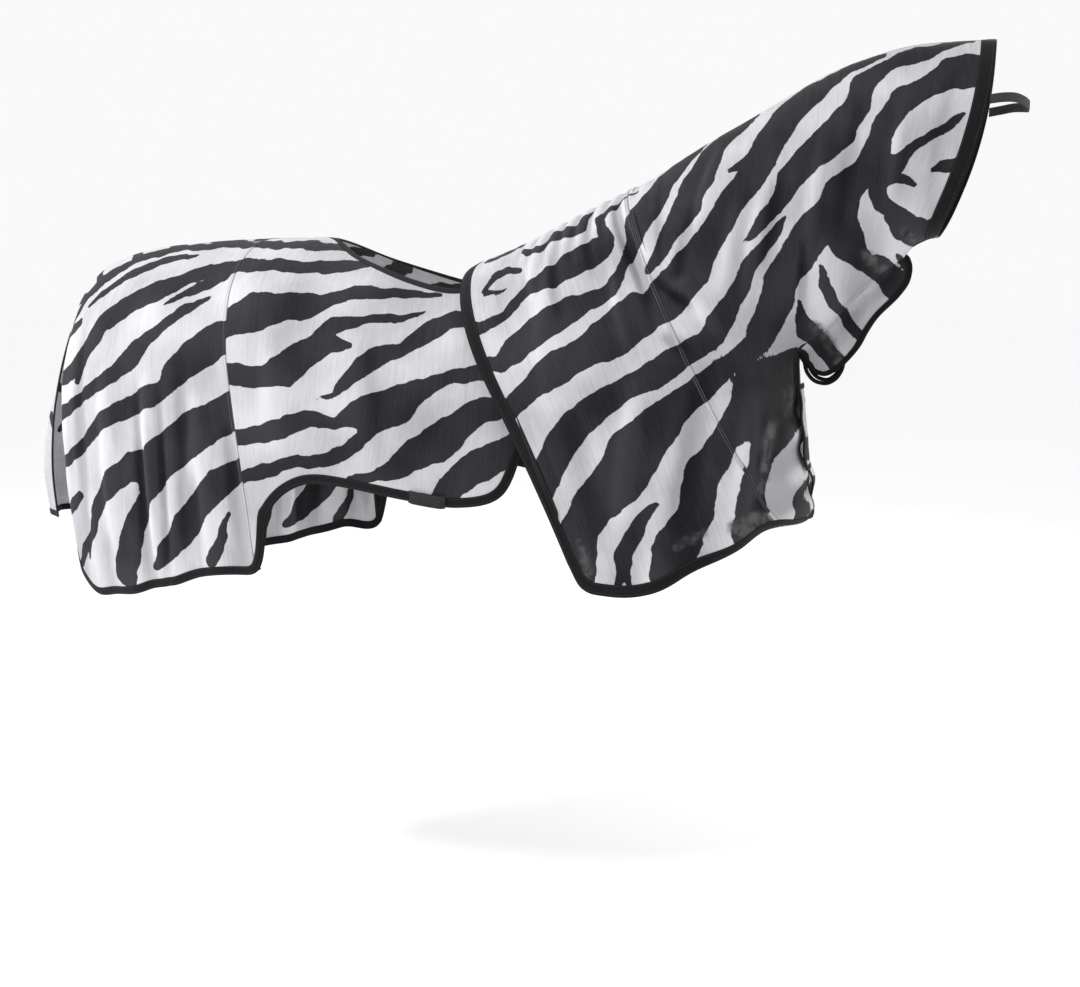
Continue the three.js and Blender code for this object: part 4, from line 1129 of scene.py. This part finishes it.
def chest_flap():
    body = "chest_flap"
    panel("chest_flap_cloth", chest, -1, (0, 1), CHEST_PRINT, body, ["chest_flap"])
    edge = Edge(chest, -1, [(0, 0), (0, 1), (1, 1), (1, 0)], (0.5, 0.5), FLAP_STEP)
    bind("chest_flap_binding", edge, FLAP_WIDTH, body, ["chest_flap_tape"])
    stitches("chest_flap_stitches", [edge.row(7.6 * MM, PROUD)], TAPE_STITCH, body)
    pad("chest_hook_patch", chest, -1, (0.1, 0.9), (0.62, 0.92), PAD_LIFT, PAD_THICK, HOOK, body,
        ["chest_hook_strip"])
    pad("chest_loop_patch", chest, -1, (0.1, 0.9), (0.60, 0.94), -CLOTH - 1.9 * MM, PAD_THICK, LOOP,
        "neck_cover", ["chest_loop_strip"])


def tail_flap():
    body = "tail_flap"
    cloth = panel("tail_cloth", tail, 1, (0, 1), [], body, ["tail_flap"])
    # the tail's print is drawn in the view from behind
    ink = stripes_on(np.array([[v.co.y, 0, v.co.z] for v in cloth.data.vertices]), TAIL_PRINT, -1)
    cloth.data.attributes["ink"].data.foreach_set("value", ink.astype(np.float32))
    low = Edge(tail, 1, [(1, 0.02), (1, 0.98)], (0.5, 0.5), FLAP_STEP)
    bind("tail_hem_binding", low, TAIL_WIDTH, body, ["tail_flap_hem_tape"])
    rows = [low.row(TAIL_WIDTH - 2.4 * MM, PROUD)]
    for word, t in (("right", 0), ("left", 1)):
        edge = Edge(tail, 1, [(0.02, t), (1, t)], (0.5, 0.5), 5 * MM)
        bind(f"tail_side_binding_{word}", edge, SMALL_WIDTH, body, [f"tail_flap_side_tape_{word}"])
        rows.append(edge.row(SMALL_ROW, PROUD))
    top = Edge(tail, 1, [(0, 0.02), (0, 0.98)], (0.5, 0.5), FLAP_STEP)
    bind("tail_top_binding", top, FLAP_WIDTH, body)
    stitches("tail_stitches", rows, TAPE_STITCH, body)


# ---------- girth tabs ----------
GIRTH_STATION = 10.45
GIRTH_HALF = 0.16  # half length of the girth tab, in stations
GIRTH_ENDS = ((0.05, 0.27), (0.73, 0.95))  # shares of its length that are sewn down
GIRTH_ROWS = (3 * MM, 18 * MM)  # sewn rows and pad edges, from the hem
GIRTH_SECTION = [(-2.5 * MM, 0.5 * MM), (-2.0 * MM, 1.6 * MM), (-0.8 * MM, 2.2 * MM), (21.3 * MM, 2.2 * MM),
                 (22.5 * MM, 1.6 * MM), (22.9 * MM, 0.5 * MM), (22 * MM, 0), (-1.6 * MM, 0)]
GIRTH_PAD = [(3 * MM, 0), (3 * MM, 1.1 * MM), (18 * MM, 1.1 * MM), (18 * MM, 0)]
PAD_SHORT = 4  # places by which a pad is shorter than the tab, at each end


def girth_tab(word, side):
    body = f"girth_tab_{word}"
    span = 2.05 * GIRTH_HALF
    ends = [(GIRTH_STATION - span, 1), (GIRTH_STATION + span, 1)]
    edge = Edge(sheet, side, ends, (GIRTH_STATION, 0.5), 3 * MM)
    count = len(edge.s)
    hump = (5.6 - 2.8 * smooth(0.72, 1, np.abs(np.linspace(-1, 1, count)))) * MM

    def rings(section, lift):
        return np.stack([edge.at(into, lift + high) for into, high in section], 1)

    new_piece(f"girth_webbing_{word}", sweep(rings(GIRTH_SECTION, hump)), WEBBING, body,
              [f"girth_tab_{word}"], edge.weave(GIRTH_SECTION))
    rows = []
    low_row, high_row = [edge.at(into, hump + 2.3 * MM) for into in GIRTH_ROWS]
    for low, high in GIRTH_ENDS:  # a box with a cross at each end
        first, last = int(low * count), int(high * count)
        part = slice(first, last + 1)
        rows += [(row[part], edge.normals[part]) for row in (low_row, high_row)]
        for a, b in ((first, last), (last, first), (first, first), (last, last)):
            rows.append((np.stack([low_row[a], high_row[b]]), edge.normals[[a, b]]))
    stitches(f"girth_stitches_{word}", rows, WEBBING_STITCH, body)
    inner = slice(PAD_SHORT, -PAD_SHORT)
    weave = edge.weave(GIRTH_PAD).reshape(count, -1)[inner].reshape(-1, 2)
    for kind, finish, lift, owner in (
            ("hook", HOOK, 3.9 * MM, body), ("loop", LOOP, 2.5 * MM, "quarter_sheet")):
        new_piece(f"girth_{kind}_patch_{word}", sweep(rings(GIRTH_PAD, lift)[inner]), finish, owner,
                  [f"girth_{kind}_pad_{word}"], weave)


# ---------- stage ----------
def make_stage():
    bpy.ops.mesh.primitive_plane_add(size=FLOOR_SIZE, location=(0, 0, GROUND))
    floor = bpy.context.object
    floor.name = "floor"
    floor.data.materials.append(floor_paint())
    world = bpy.data.worlds.new("studio")
    world.use_nodes = True
    background = world.node_tree.nodes["Background"]
    background.inputs["Color"].default_value = (1, 1, 1, 1)
    background.inputs["Strength"].default_value = SKY_STRENGTH
    bpy.context.scene.world = world
    bpy.context.scene.view_settings.view_transform = "Standard"
    area_light("key", (-3.2, -2.0, 2.2), (-0.1, 0, -0.2), 0.9, 140)
    area_light("back", (1.6, 3.4, 2.2), (0, 0, -0.2), 1.6, 60)


make_camera()
for word, side in SIDES:
    cover_side(word, side)
    sheet_side(word, side)
    withers_pads(word, side)
    throat_flap(word, side)
    girth_tab(word, side)
topline_seam("crest_seam", cover, (0.2, cover.last - 0.1), COVER_PRINT, "neck_cover", ["crest_seam_tape"])
topline_seam("croup_seam", sheet, (0.2, CUTOUT_FROM - 0.2), HIND_PRINT, "quarter_sheet", ["croup_seam_tape"])
brow_strap()
chest_flap()
tail_flap()
make_stage()
